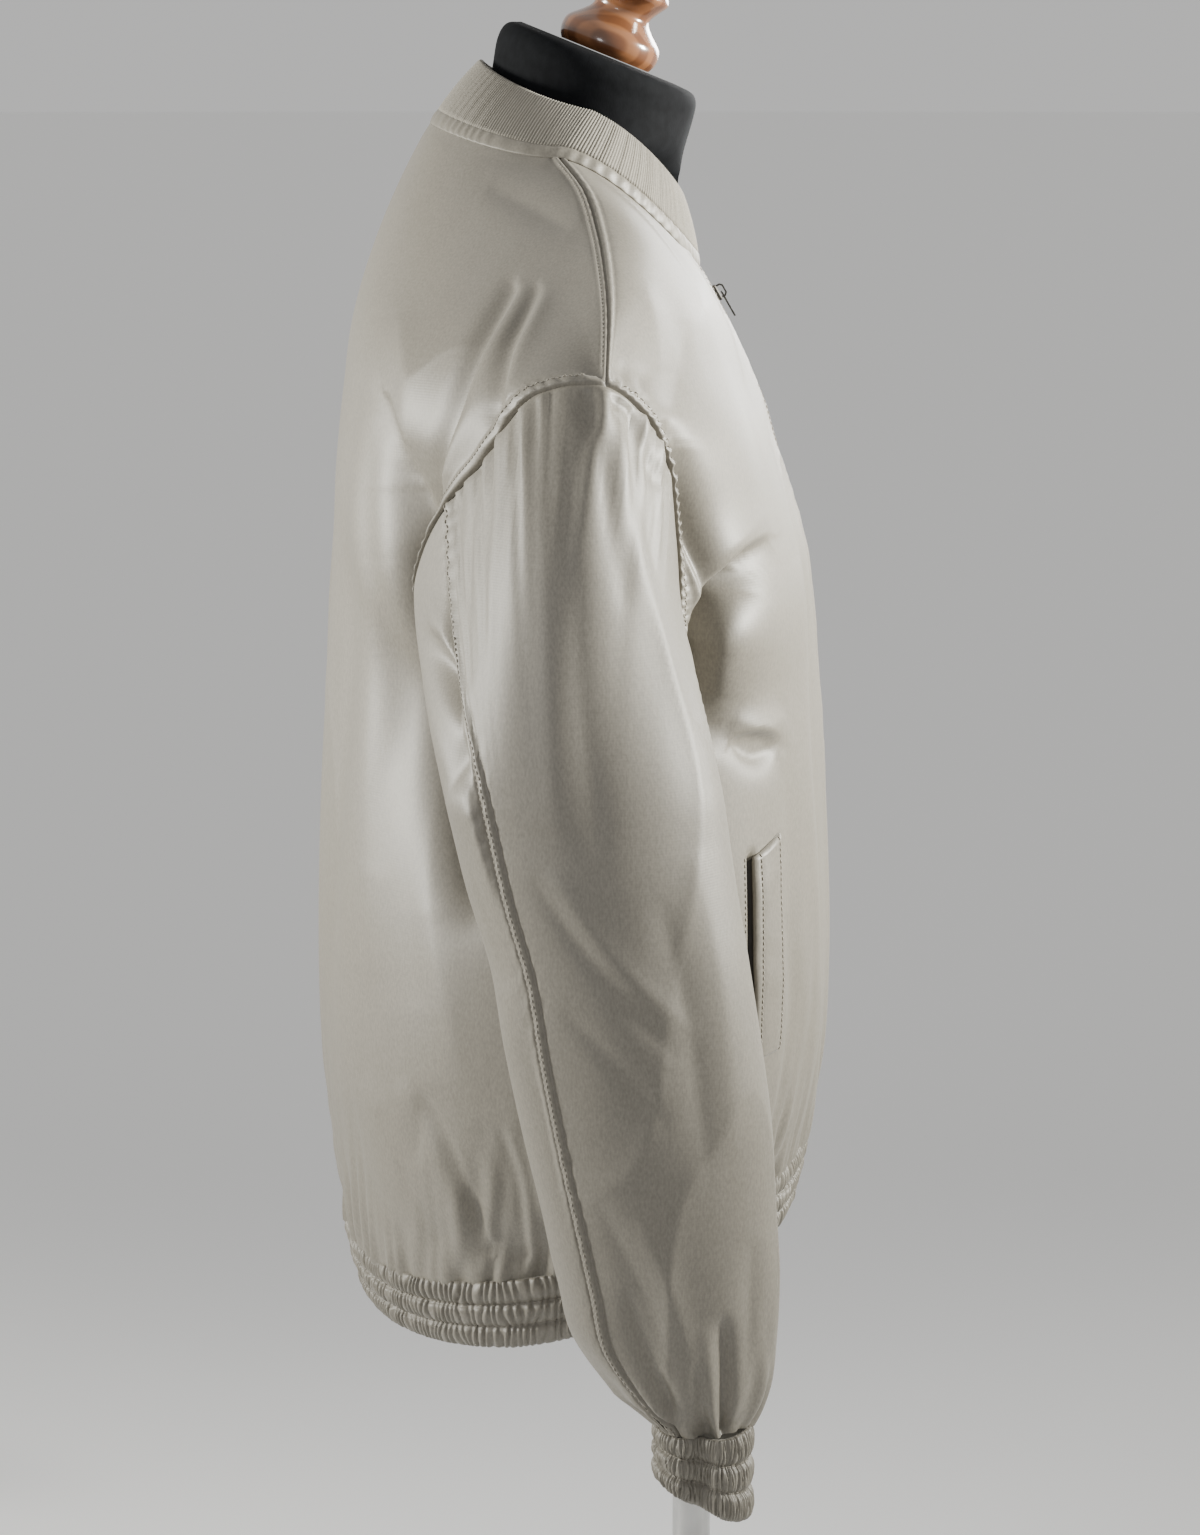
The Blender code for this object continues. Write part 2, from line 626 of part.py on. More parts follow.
# ---------------------------------------------------------------- zip
ZIP_TOP = 0.8440
CHAIN_ROWS = 28
SLIDER_AT = 0.8330         # height of the slider's middle
SLIDER_LENGTH = 0.0090
SLIDER_WIDTH = 0.0074
SLIDER_THICK = 0.0024
TAB_LENGTH = 0.0150
TAB_WIDTH = 0.0052
TAB_THICK = 0.0010
TAB_BAR = 0.0010
WINDOW_LENGTH = 0.0052
SLIDER_BEVEL = 0.0006
BRIDGE_BAR = 0.0010
# Bridge over the slider's face: place up the zip and out, and the way its outer side faces
BRIDGE = [
    (-0.0034, -0.0008, -1.00, 0.00),
    (-0.0034, 0.0020, -0.90, 0.30),
    (-0.0022, 0.0032, -0.45, 0.90),
    (0.0022, 0.0032, 0.45, 0.90),
    (0.0034, 0.0020, 0.90, 0.30),
    (0.0034, -0.0008, 1.00, 0.00),
]
HINGE_DROP = 0.0010        # from the slider's middle down to the pull tab's hinge
HINGE_STAND = 0.0011       # from the slider's face out to the hinge


def front_line(height):
    return float(smooth(FRONT_CENTRE[:, 0], FRONT_CENTRE[:, 1], np.array([height]))[0])


def build_chain(metal, collection):
    seam = FRONT_CENTRE[0, 0]
    heights = np.linspace(ZIP_TOP, seam - HEM_HEIGHT, CHAIN_ROWS)
    below = np.clip((seam - heights) / HEM_HEIGHT, 0, 1)
    y = np.array([front_line(max(height, seam)) for height in heights])
    y += HEM_TAPER * below ** 1.5 * (HEM_CENTRE_Y - FRONT_CENTRE[0, 1])
    line = np.column_stack([np.zeros(CHAIN_ROWS), y, heights])
    along = unit(np.gradient(line, axis=0))
    out = np.cross(along, (1, 0, 0))
    out *= np.sign(-out[:, 1:2])
    outer = np.stack([line - (ZIP_HALF, 0, 0), line + (ZIP_HALF, 0, 0)], axis=1)
    wall("zip_chain", outer, outer - out[:, None] * ZIP_THICK, metal, collection)


def slider_frame():
    """Place of the slider's face, and its directions across, up the zip and out."""
    low, high = (np.array([0, front_line(SLIDER_AT + d), SLIDER_AT + d]) for d in (-0.005, 0.005))
    up = unit(high - low)
    out = np.cross(up, (1, 0, 0))
    out *= -np.sign(out[1])
    face = (low + high) / 2 + out * (SEAM_GAP + SLIDER_THICK)
    return face, up, out


def bevelled_box(name, size, centre, frame, width, metal, collection):
    """A box with its edges rounded, in the slider's directions."""
    bm = bmesh.new()
    bmesh.ops.create_cube(bm, size=1.0)
    bmesh.ops.scale(bm, vec=size, verts=bm.verts)
    bmesh.ops.bevel(bm, geom=bm.edges[:], offset=width, segments=1, affect="EDGES")
    across, up, out = frame
    for vertex in bm.verts:
        x, y, z = vertex.co
        vertex.co = centre + np.array(across) * x + up * y + out * z
    return finish_bmesh(name, bm, metal, collection)


def finish_bmesh(name, bm, finish, collection):
    face_outwards(bm)
    mesh = bpy.data.meshes.new(name)
    bm.to_mesh(mesh)
    bm.free()
    mesh.materials.append(finish)
    obj = bpy.data.objects.new(name, mesh)
    collection.objects.link(obj)
    return obj


def swept_bar(points, corners, across, outs):
    """Vertices and faces of a four-sided bar along points, in given cross directions."""
    vertices = [point + across * a + out * b for point, out in zip(points, outs) for a, b in corners]
    faces = []
    for k in range(len(points) - 1):
        for j in range(4):
            a, b = k * 4 + j, k * 4 + (j + 1) % 4
            faces += [(a, b, b + 4), (a, b + 4, a + 4)]
    last = 4 * (len(points) - 1)
    faces += [(0, 2, 1), (0, 3, 2), (last, last + 1, last + 2), (last, last + 2, last + 3)]
    return vertices, faces


def build_slider(metal, collection):
    """The slider's body with the bridge that its pull tab hangs on, as one closed piece."""
    face, up, out = slider_frame()
    across = np.array([1.0, 0.0, 0.0])
    body = bevelled_box("zip_slider", (SLIDER_WIDTH, SLIDER_LENGTH, SLIDER_THICK),
                        face - out * SLIDER_THICK / 2, (across, up, out), SLIDER_BEVEL, metal, collection)
    points = [face + up * a + out * b for a, b, _, _ in BRIDGE]
    outs = [unit(up * a + out * b) for _, _, a, b in BRIDGE]
    half = BRIDGE_BAR / 2
    corners = [(-half * 1.6, -half), (half * 1.6, -half), (half * 1.6, half), (-half * 1.6, half)]
    vertices, faces = swept_bar(points, corners, across, outs)
    bridge = new_object("bridge_bar", vertices, faces, metal, collection)
    joined = body.modifiers.new("bridge", "BOOLEAN")
    joined.operation = "UNION"
    joined.object = bridge
    bridge.hide_render = True
    bridge.display_type = "WIRE"
    return bridge


def build_tab(metal, collection):
    """Pull tab: a plate with a window whose top bar turns under the slider's bridge."""
    face, up, out = slider_frame()
    hinge = face - up * HINGE_DROP + out * HINGE_STAND
    half = TAB_WIDTH / 2
    hole = half - TAB_BAR
    outline = [(-half, TAB_BAR / 2), (half, TAB_BAR / 2), (half, -WINDOW_LENGTH - 0.002),
               (half * 0.72, -TAB_LENGTH + 0.001), (half * 0.45, -TAB_LENGTH),
               (-half * 0.45, -TAB_LENGTH), (-half * 0.72, -TAB_LENGTH + 0.001),
               (-half, -WINDOW_LENGTH - 0.002)]
    window = [(-hole, -TAB_BAR / 2), (hole, -TAB_BAR / 2), (hole, -WINDOW_LENGTH), (-hole, -WINDOW_LENGTH)]
    curve = bpy.data.curves.new("zip_pull_tab", "CURVE")
    curve.dimensions = "2D"
    curve.fill_mode = "BOTH"
    curve.extrude = TAB_THICK / 2
    for loop in (outline, window):
        spline = curve.splines.new("POLY")
        spline.points.add(len(loop) - 1)
        for point, (x, y) in zip(spline.points, loop):
            point.co = (x, y, 0, 1)
        spline.use_cyclic_u = True
    curve.materials.append(metal)
    tab = bpy.data.objects.new("zip_pull_tab", curve)
    tab.location = hinge
    tab.rotation_euler = (math.atan2(up[2], up[1]), 0, 0)
    collection.objects.link(tab)
    return tab


# ---------------------------------------------------------------- form and stand
# Form, from its cut-off hip up to the neck cap: height and y of the section's middle, slope of
# the section (rise per metre forwards to back), half width, reach to the front and to the back,
# how straight its front and back run to the sides (1 round, 2 straight).
FORM = np.array([
    (0.365, 0.068, 0.00, 0.150, 0.104, 0.108, 1.00, 1.00),
    (0.380, 0.068, 0.00, 0.160, 0.110, 0.114, 0.95, 0.95),
    (0.430, 0.068, 0.00, 0.162, 0.108, 0.116, 0.92, 0.92),
    (0.500, 0.068, 0.00, 0.142, 0.096, 0.104, 0.95, 0.92),
    (0.560, 0.068, 0.00, 0.130, 0.092, 0.098, 0.97, 0.92),
    (0.630, 0.068, 0.00, 0.146, 0.104, 0.108, 0.97, 0.90),
    (0.700, 0.068, 0.00, 0.160, 0.106, 0.116, 0.97, 0.88),
    (0.760, 0.066, 0.00, 0.172, 0.090, 0.116, 1.00, 0.90),
    (0.800, 0.064, 0.00, 0.176, 0.076, 0.114, 1.10, 0.95),
    (0.838, 0.058, 0.00, 0.178, 0.052, 0.114, 1.40, 1.10),
    (0.863, 0.0565, 0.00, 0.172, 0.044, 0.108, 1.80, 1.30),
    (0.8772, 0.0575, 0.00, 0.1575, 0.046, 0.098, 2.10, 1.50),
    (0.8890, 0.0610, 0.02, 0.1340, 0.050, 0.085, 2.60, 1.70),
    (0.8985, 0.0660, 0.05, 0.1070, 0.0555, 0.0685, 2.70, 1.60),
    (0.9060, 0.0670, 0.10, 0.0760, 0.0575, 0.0570, 1.80, 1.35),
    (0.9200, 0.0625, 0.16, 0.060, 0.0550, 0.0550, 1.00, 1.00),
    (0.9420, 0.0590, 0.24, 0.0560, 0.0565, 0.0535, 1.00, 1.00),
    (0.9550, 0.0580, 0.32, 0.0555, 0.0570, 0.0515, 1.00, 1.00),
    (0.9620, 0.0570, 0.37, 0.0520, 0.0535, 0.0475, 1.00, 1.00),
    (0.9645, 0.0565, 0.40, 0.0440, 0.0440, 0.0400, 1.00, 1.00),
])
FORM_SIDES = 32
CAP_SLOPE = 0.40
CAP_CENTRE = (0.0, 0.0510, 0.9625)

# Finial, turned about the neck's leaning axis: radius and height over the cap
FINIAL = [
    (0.0010, 0.0760), (0.0080, 0.0755), (0.0150, 0.0725), (0.0195, 0.0670), (0.0210, 0.0600),
    (0.0195, 0.0530), (0.0165, 0.0470), (0.0175, 0.0440), (0.0215, 0.0400), (0.0225, 0.0365),
    (0.0200, 0.0325), (0.0165, 0.0270), (0.0165, 0.0235), (0.0200, 0.0195), (0.0265, 0.0135),
    (0.0280, 0.0085), (0.0275, 0.0040), (0.0255, 0.0003), (0.0010, 0.0003),
]
POLE_RADIUS = 0.0110
SOCKET = [(POLE_RADIUS, 0.040), (0.016, 0.037), (0.021, 0.030)]   # the pole's foot: radius, height
BASE_RADIUS = 0.2160
BASE_THICK = 0.0060
BASE_BEVEL = 0.0015


def build_form(jersey, collection):
    vertices = []
    turn = np.linspace(0, 2 * math.pi, FORM_SIDES + 1)[:-1]
    for z, y, slope, wide, front, back, front_power, back_power in FORM:
        ahead = np.cos(turn) > 0
        power = np.where(ahead, front_power, back_power)
        reach = np.where(ahead, front, back)
        x = wide * np.sign(np.sin(turn)) * np.abs(np.sin(turn)) ** power
        dy = -reach * np.sign(np.cos(turn)) * np.abs(np.cos(turn)) ** power
        vertices.append(np.column_stack([x, y + dy, z + slope * dy]))
    rows = len(vertices)
    index = np.arange(rows * FORM_SIDES).reshape(rows, FORM_SIDES)
    index = np.concatenate([index, index[:, :1]], axis=1)
    faces = [tuple(face) for face in grid_faces(index, False)]
    points = list(np.concatenate(vertices))
    points += [vertices[0].mean(axis=0), vertices[-1].mean(axis=0)]
    low, high = len(points) - 2, len(points) - 1
    faces += [(low, index[0, k + 1], index[0, k]) for k in range(FORM_SIDES)]
    faces += [(high, index[-1, k], index[-1, k + 1]) for k in range(FORM_SIDES)]
    return new_object("form_body", points, faces, jersey, collection, 60)


def turned(name, profile, sides, finish, collection):
    """A profile turned about Z, closed on its axis."""
    bm = bmesh.new()
    rings = []
    for radius, height in profile:
        rings.append([bm.verts.new((radius * math.cos(2 * math.pi * k / sides),
                                    radius * math.sin(2 * math.pi * k / sides), height))
                      for k in range(sides)])
    for upper, lower in zip(rings, rings[1:]):
        for k in range(sides):
            bm.faces.new((upper[k], upper[(k + 1) % sides], lower[(k + 1) % sides], lower[k]))
    bm.faces.new(rings[0])
    bm.faces.new(rings[-1][::-1])
    obj = finish_bmesh(name, bm, finish, collection)
    obj.data.shade_smooth()
    obj.data.set_sharp_from_angle(angle=math.radians(50))
    return obj


def build_stand(wood, steel, collection):
    finial = turned("neck_finial", FINIAL, 16, wood, collection)
    finial.location = CAP_CENTRE
    finial.rotation_euler = (math.atan(CAP_SLOPE), 0, 0)
    top = FORM[0, 0] - SEAM_GAP
    shaft = [(POLE_RADIUS, top)] + SOCKET + [(SOCKET[-1][0], BASE_THICK + SEAM_GAP)]
    turned("stand_pole", shaft, 20, steel, collection)
    plate = [(BASE_RADIUS - BASE_BEVEL, BASE_THICK), (BASE_RADIUS, BASE_THICK - BASE_BEVEL), (BASE_RADIUS, 0.0)]
    turned("stand_base", plate, 48, steel, collection)


def main():
    for old in list(bpy.data.objects):
        bpy.data.objects.remove(old)
    jacket = bpy.data.collections.new("bomber_jacket_on_form")
    guides = bpy.data.collections.new("cutters")
    bpy.context.scene.collection.children.link(jacket)
    bpy.context.scene.collection.children.link(guides)
    cloth = material("satin_cloth", (0.33, 0.31, 0.27), 0.42)
    rib = material("rib_knit", (0.38, 0.35, 0.30), 0.85)
    jersey = material("black_jersey", (0.012, 0.013, 0.015), 0.85)
    wood = material("turned_wood", (0.26, 0.12, 0.05), 0.30)
    steel = material("brushed_steel", (0.62, 0.62, 0.61), 0.28, 1.0)
    metal = material("dark_zip_metal", (0.12, 0.12, 0.12), 0.35, 1.0)
    build_cloth(cloth, jacket)
    build_hem(cloth, jacket)
    build_cuffs(cloth, jacket)
    build_collar(cloth, rib, jacket)
    build_chain(metal, jacket)
    bridge = build_slider(metal, jacket)
    jacket.objects.unlink(bridge)
    guides.objects.link(bridge)
    build_tab(metal, jacket)
    build_form(jersey, jacket)
    build_stand(wood, steel, jacket)


main()
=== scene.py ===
"""Looks of a satin bomber jacket with a rib collar, closed, on a limbless dress form.

Metres, +Z up. The jacket's front faces -Y and its wearer's left is +X. The panels, bands
and collar are worked out from the same seams and sections as the solids that they replace.
"""
import math

import bpy
import numpy as np
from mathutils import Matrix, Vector, noise


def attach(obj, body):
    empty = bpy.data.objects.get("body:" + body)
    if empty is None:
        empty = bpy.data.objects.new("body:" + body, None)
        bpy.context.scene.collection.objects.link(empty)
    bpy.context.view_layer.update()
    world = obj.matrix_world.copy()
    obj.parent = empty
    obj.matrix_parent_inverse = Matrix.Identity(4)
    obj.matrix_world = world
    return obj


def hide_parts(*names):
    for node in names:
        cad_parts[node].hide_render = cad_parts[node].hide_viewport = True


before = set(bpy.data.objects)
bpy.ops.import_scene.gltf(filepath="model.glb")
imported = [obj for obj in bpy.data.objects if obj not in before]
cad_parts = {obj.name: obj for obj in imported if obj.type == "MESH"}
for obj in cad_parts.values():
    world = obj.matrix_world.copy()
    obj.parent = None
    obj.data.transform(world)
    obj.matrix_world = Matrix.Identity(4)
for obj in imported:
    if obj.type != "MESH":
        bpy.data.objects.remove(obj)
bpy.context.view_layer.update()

BODY = "jacket_on_form"

# ---------------------------------------------------------------- the photograph's camera
IMAGE = (1200, 1535)
FOCAL = 3800.0             # in the photograph's pixels
CAMERA = np.array([-2.110, 0.0535, 0.965])
PITCH = math.atan(717 / FOCAL)
PIXELS_PER_MM = 2.0        # on the sleeve and the body's side

# ---------------------------------------------------------------- seams and sections
ZIP_HALF = 0.0028
HEM_HEIGHT = 0.042
HEM_CENTRE_Y = 0.066
HEM_TAPER = 0.070
HEM_BACK_LIFT = 0.006

# Side seam: height, half width, y
SIDE_SEAM = np.array([
    (0.336, 0.206, 0.075),
    (0.365, 0.220, 0.073),
    (0.410, 0.231, 0.071),
    (0.455, 0.232, 0.070),
    (0.510, 0.227, 0.070),
    (0.570, 0.219, 0.070),
    (0.630, 0.214, 0.070),
])

# Armhole seam: angle round the sleeve (0 front, 90 outside, 180 back, 270 underarm), half width,
# y, height
ARMHOLE = np.array([
    (90, 0.270, 0.0506, 0.806),
    (105, 0.268, 0.0780, 0.804),
    (118, 0.260, 0.0950, 0.792),
    (126, 0.244, 0.1100, 0.768),
    (135, 0.220, 0.1305, 0.742),
    (150, 0.194, 0.1460, 0.708),
    (165, 0.189, 0.1465, 0.688),
    (180, 0.190, 0.1390, 0.668),
    (210, 0.201, 0.1180, 0.645),
    (240, 0.211, 0.0930, 0.633),
    (270, 0.214, 0.0700, 0.630),
    (300, 0.215, 0.0400, 0.640),
    (330, 0.216, 0.0185, 0.662),
    (360, 0.220, 0.0145, 0.695),
    (390, 0.230, 0.0160, 0.732),
    (420, 0.246, 0.0220, 0.772),
    (435, 0.257, 0.0310, 0.790),
])

# Shoulder seam, from the armhole to the neck: half width, y, height
SHOULDER_SEAM = np.array([
    (0.270, 0.0506, 0.806),
    (0.235, 0.0496, 0.837),
    (0.200, 0.0515, 0.859),
    (0.165, 0.0550, 0.876),
    (0.130, 0.0615, 0.894),
    (0.092, 0.0745, 0.9095),
])

# Centre lines: height, y
BACK_CENTRE = np.array([
    (0.311, 0.1975), (0.345, 0.2030), (0.380, 0.2080), (0.420, 0.2115), (0.470, 0.2127),
    (0.535, 0.2117), (0.600, 0.2075), (0.660, 0.2040), (0.720, 0.1995), (0.777, 0.1950),
    (0.823, 0.1900), (0.863, 0.1784), (0.9025, 0.1606), (0.926, 0.1465),
])
FRONT_CENTRE = np.array([
    (0.364, -0.0640), (0.385, -0.0695), (0.411, -0.0736), (0.444, -0.0755), (0.490, -0.0748),
    (0.5755, -0.0696), (0.6619, -0.0637), (0.6938, -0.0605), (0.7132, -0.0554), (0.7404, -0.0469),
    (0.7641, -0.0400), (0.8009, -0.0262), (0.8331, -0.0099), (0.8477, -0.0011),
])

# Rows of the body panels: place along the edge (0 hem, 1 underarm, 2 shoulder end, 3 neck),
# height at the centre, direction in which the row leaves the edge, reach there and at the centre
BACK_RUNS = np.array([
    (0.00, 0.3115, 0.00, 1.00, -0.20, 0.29, 0.57),
    (0.50, 0.4650, 0.00, 1.00, 0.00, 0.30, 0.60),
    (1.00, 0.6350, -0.10, 1.00, 0.05, 0.30, 0.60),
    (1.25, 0.6980, -0.35, 0.90, 0.10, 0.30, 0.58),
    (1.50, 0.7400, -0.50, 0.80, 0.20, 0.30, 0.55),
    (1.72, 0.7780, -0.68, 0.62, 0.36, 0.30, 0.55),
    (1.87, 0.8030, -0.72, 0.50, 0.42, 0.28, 0.55),
    (2.00, 0.8240, -0.66, 0.58, 0.48, 0.26, 0.52),
    (2.33, 0.8600, -0.50, 0.75, -0.05, 0.26, 0.50),
    (2.66, 0.8940, -0.20, 0.95, -0.12, 0.27, 0.52),
    (3.00, 0.9260, 0.00, 1.00, 0.00, 0.28, 0.55),
])
FRONT_RUNS = np.array([
    (0.00, 0.3638, 0.00, -1.00, 0.20, 0.29, 0.55),
    (0.50, 0.4850, 0.00, -1.00, 0.00, 0.33, 0.60),
    (1.00, 0.6250, -0.02, -1.00, 0.00, 0.34, 0.63),
    (1.25, 0.6700, -0.20, -1.00, 0.05, 0.27, 0.62),
    (1.50, 0.7150, -0.45, -0.88, 0.05, 0.23, 0.56),
    (1.75, 0.7550, -0.65, -0.65, 0.20, 0.23, 0.50),
    (2.00, 0.7850, -0.80, -0.40, 0.35, 0.23, 0.48),
    (2.33, 0.8060, -0.45, -0.85, -0.05, 0.26, 0.50),
    (2.66, 0.8270, -0.10, -1.00, -0.10, 0.28, 0.53),
    (3.00, 0.8477, 0.00, -1.00, -0.24, 0.28, 0.55),
])

# Sleeve below the upper arm: height, y of the front and of the back, inner and outer half width
ARM = np.array([
    (0.600, -0.0080, 0.1295, 0.232, 0.325),
    (0.560, -0.0138, 0.1200, 0.236, 0.329),
    (0.520, -0.0205, 0.1080, 0.241, 0.331),
    (0.480, -0.0265, 0.1015, 0.244, 0.331),
    (0.440, -0.0312, 0.0935, 0.246, 0.329),
    (0.400, -0.0330, 0.0840, 0.247, 0.326),
    (0.360, -0.0355, 0.0745, 0.247, 0.323),
    (0.330, -0.0348, 0.0665, 0.248, 0.320),
    (0.308, -0.0320, 0.0500, 0.251, 0.318),
    (0.285, -0.0225, 0.0255, 0.258, 0.316),
])
CAP_LEAVE = (0.60, 0.00, -0.80)
UNDER_LEAVE = (0.95, 0.00, -0.30)
CAP_PULL = 0.90
ARM_PULL = 0.75

CUFF_HEIGHT = 0.038
CUFF_TILT = 0.45
CREASE_ANGLE = 96.0
CREASE_WIDTH = 17.0
CREASE_DEPTH = 0.0065

COLLAR_SIDE = (0.0665, 0.0580, 0.9345)
COLLAR_BACK = (0.0, 0.1185, 0.9605)
COLLAR_FRONT = (0.0, 0.0080, 0.8870)
COLLAR_END = 0.0008
BAND_SHARE = 0.20


def smooth(knots, values, at):
    """Cubic curve through the values, read at the given places."""
    knots = np.asarray(knots, float)
    values = np.asarray(values, float)
    at = np.asarray(at, float)
    slopes = np.gradient(values, knots, axis=0)
    i = np.clip(np.searchsorted(knots, at, side="right") - 1, 0, len(knots) - 2)
    step = knots[i + 1] - knots[i]
    u = (at - knots[i]) / step
    if values.ndim > 1:
        step = step[..., None]
        u = u[..., None]
    start = (1 + 2 * u) * (1 - u) ** 2 * values[i] + u * (1 - u) ** 2 * step * slopes[i]
    end = u * u * (3 - 2 * u) * values[i + 1] + u * u * (u - 1) * step * slopes[i + 1]
    return start + end


def unit(vectors):
    return vectors / np.maximum(np.linalg.norm(vectors, axis=-1, keepdims=True), 1e-12)


def arc(start, first, second, end, ts):
    """Bezier curves from start to end, one row for each start point."""
    t = ts[None, :, None]
    return ((1 - t) ** 3 * start[:, None] + 3 * (1 - t) ** 2 * t * first[:, None]
            + 3 * (1 - t) * t ** 2 * second[:, None] + t ** 3 * end[:, None])


def armhole_point(angle):
    around = np.vstack([ARMHOLE[-2:] - (360, 0, 0, 0), ARMHOLE, ARMHOLE[:2] + (360, 0, 0, 0)])
    return smooth(around[:, 0], around[:, 1:], angle)


def edge_points(places, back):
    points = np.zeros((len(places), 3))
    side = places <= 1
    height = SIDE_SEAM[0, 0] + (SIDE_SEAM[-1, 0] - SIDE_SEAM[0, 0]) * places[side]
    points[side] = np.column_stack([smooth(SIDE_SEAM[:, 0], SIDE_SEAM[:, 1:], height), height])
    hole = (places > 1) & (places <= 2)
    turn = 180 * (places[hole] - 1)
    points[hole] = armhole_point(270 - turn if back else 270 + turn)
    top = places > 2
    along = (places[top] - 2) * (len(SHOULDER_SEAM) - 1)
    points[top] = smooth(np.arange(len(SHOULDER_SEAM)), SHOULDER_SEAM, along)
    return points


def panel_half(places, ts, back):
    """Half of the body, from its left edge to the centre line, as rows of points."""
    runs = BACK_RUNS if back else FRONT_RUNS
    centre = BACK_CENTRE if back else FRONT_CENTRE
    run = smooth(runs[:, 0], runs[:, 1:], places)
    edge = edge_points(places, back)
    end = np.zeros_like(edge)
    end[:, 0] = 0 if back else ZIP_HALF
    end[:, 1] = smooth(centre[:, 0], centre[:, 1], run[:, 0])
    end[:, 2] = run[:, 0]
    span = np.linalg.norm(end - edge, axis=1, keepdims=True)
    first = edge + run[:, 1:4] * run[:, 4:5] * span
    second = end.copy()
    second[:, 0] += run[:, 5] * edge[:, 0]
    return arc(edge, first, second, end, ts)


def mirrored(points):
    return points * (-1, 1, 1)


def arm_oval(height, angles):
    front, back, inner, outer = smooth(-ARM[:, 0], ARM[:, 1:], np.full(1, -height))[0]
    turn = np.radians(angles)
    x = (inner + outer) / 2 + (outer - inner) / 2 * np.sin(turn)
    y = (front + back) / 2 - (back - front) / 2 * np.cos(turn)
    near_cuff = np.clip((ARM[-2, 0] - height) / (ARM[-2, 0] - ARM[-1, 0]), 0, 1)
    x = x - CREASE_DEPTH * near_cuff * np.exp(-((angles % 360 - CREASE_ANGLE) / CREASE_WIDTH) ** 2)
    return np.column_stack([x, y, np.full_like(x, height)])


def sleeve_grid(angles, side, caps, arms):
    """Rows of points from the armhole to the cuff, for angles round the sleeve."""
    hole = armhole_point(angles % 360 + np.where(angles % 360 < 90, 360, 0))
    upper = arm_oval(ARM[0, 0], angles)
    below = arm_oval(ARM[0, 0] - 0.01, angles)
    reach = np.linalg.norm(upper - hole, axis=1, keepdims=True)
    under = np.clip(-np.sin(np.radians(angles)), 0, 1)[:, None]
    leave = np.array(CAP_LEAVE) * (1 - under) + np.array(UNDER_LEAVE) * under
    first = hole + leave * reach * CAP_PULL / 3
    second = upper - unit(below - upper) * reach * ARM_PULL / 3
    cap = arc(hole, first, second, upper, caps).transpose(1, 0, 2)
    heights = ARM[0, 0] + (ARM[-1, 0] - ARM[0, 0]) * arms
    grid = np.concatenate([cap, [arm_oval(height, angles) for height in heights]])
    return grid if side > 0 else mirrored(grid)


# ---------------------------------------------------------------- grids of points
def grid_normals(grid, middle):
    """Unit normals of a grid, turned away from a middle point."""
    normals = unit(np.cross(np.gradient(grid, axis=1), np.gradient(grid, axis=0)))
    away = np.sum(normals * (grid - middle), axis=-1)
    return normals if away.mean() > 0 else -normals


def reach_from(grid, axis, end):
    """Distance along the grid's lines from its first (0) or last (-1) row or column."""
    step = np.linalg.norm(np.diff(grid, axis=axis), axis=-1)
    if end == -1:
        step = np.flip(step, axis)
    total = np.cumsum(step, axis=axis)
    pad = [(0, 0), (0, 0)]
    pad[axis] = (1, 0)
    total = np.pad(total, pad)
    return np.flip(total, axis) if end == -1 else total


def bell(distance, width):
    return np.exp(-(distance / width) ** 2)


def crest(distance, width):
    """Like a bell, with a keener top."""
    return np.exp(-np.abs(distance / width) ** 1.4)


def step_up(x, start, end):
    """0 before start, 1 after end, smooth between."""
    t = np.clip((x - start) / (end - start), 0, 1)
    return t * t * (3 - 2 * t)


def run_along(line):
    """Distance of each point of a line from its start, along it."""
    return np.concatenate([[0], np.cumsum(np.linalg.norm(np.diff(line, axis=0), axis=1))])


def read_line(line, length, at):
    return np.column_stack([np.interp(at, length, line[:, k]) for k in range(3)])


def in_photo(points, side):
    """Where the points of one side of the jacket show in the photograph, in its pixels."""
    seen = points * (-side, 1, 1) - CAMERA
    forward = np.array([math.cos(PITCH), 0, -math.sin(PITCH)])
    up = np.array([math.sin(PITCH), 0, math.cos(PITCH)])
    depth = seen @ forward
    u = IMAGE[0] / 2 - FOCAL * seen[..., 1] / depth
    v = IMAGE[1] / 2 - FOCAL * (seen @ up) / depth
    return np.stack([u, v], axis=-1)


def waves(points, scale, seed):
    """Smooth noise from -1 to 1 at the points, stretched by scale per axis."""
    flat = points.reshape(-1, 3) * scale + seed
    return np.array([noise.noise(Vector(p)) for p in flat]).reshape(points.shape[:-1])


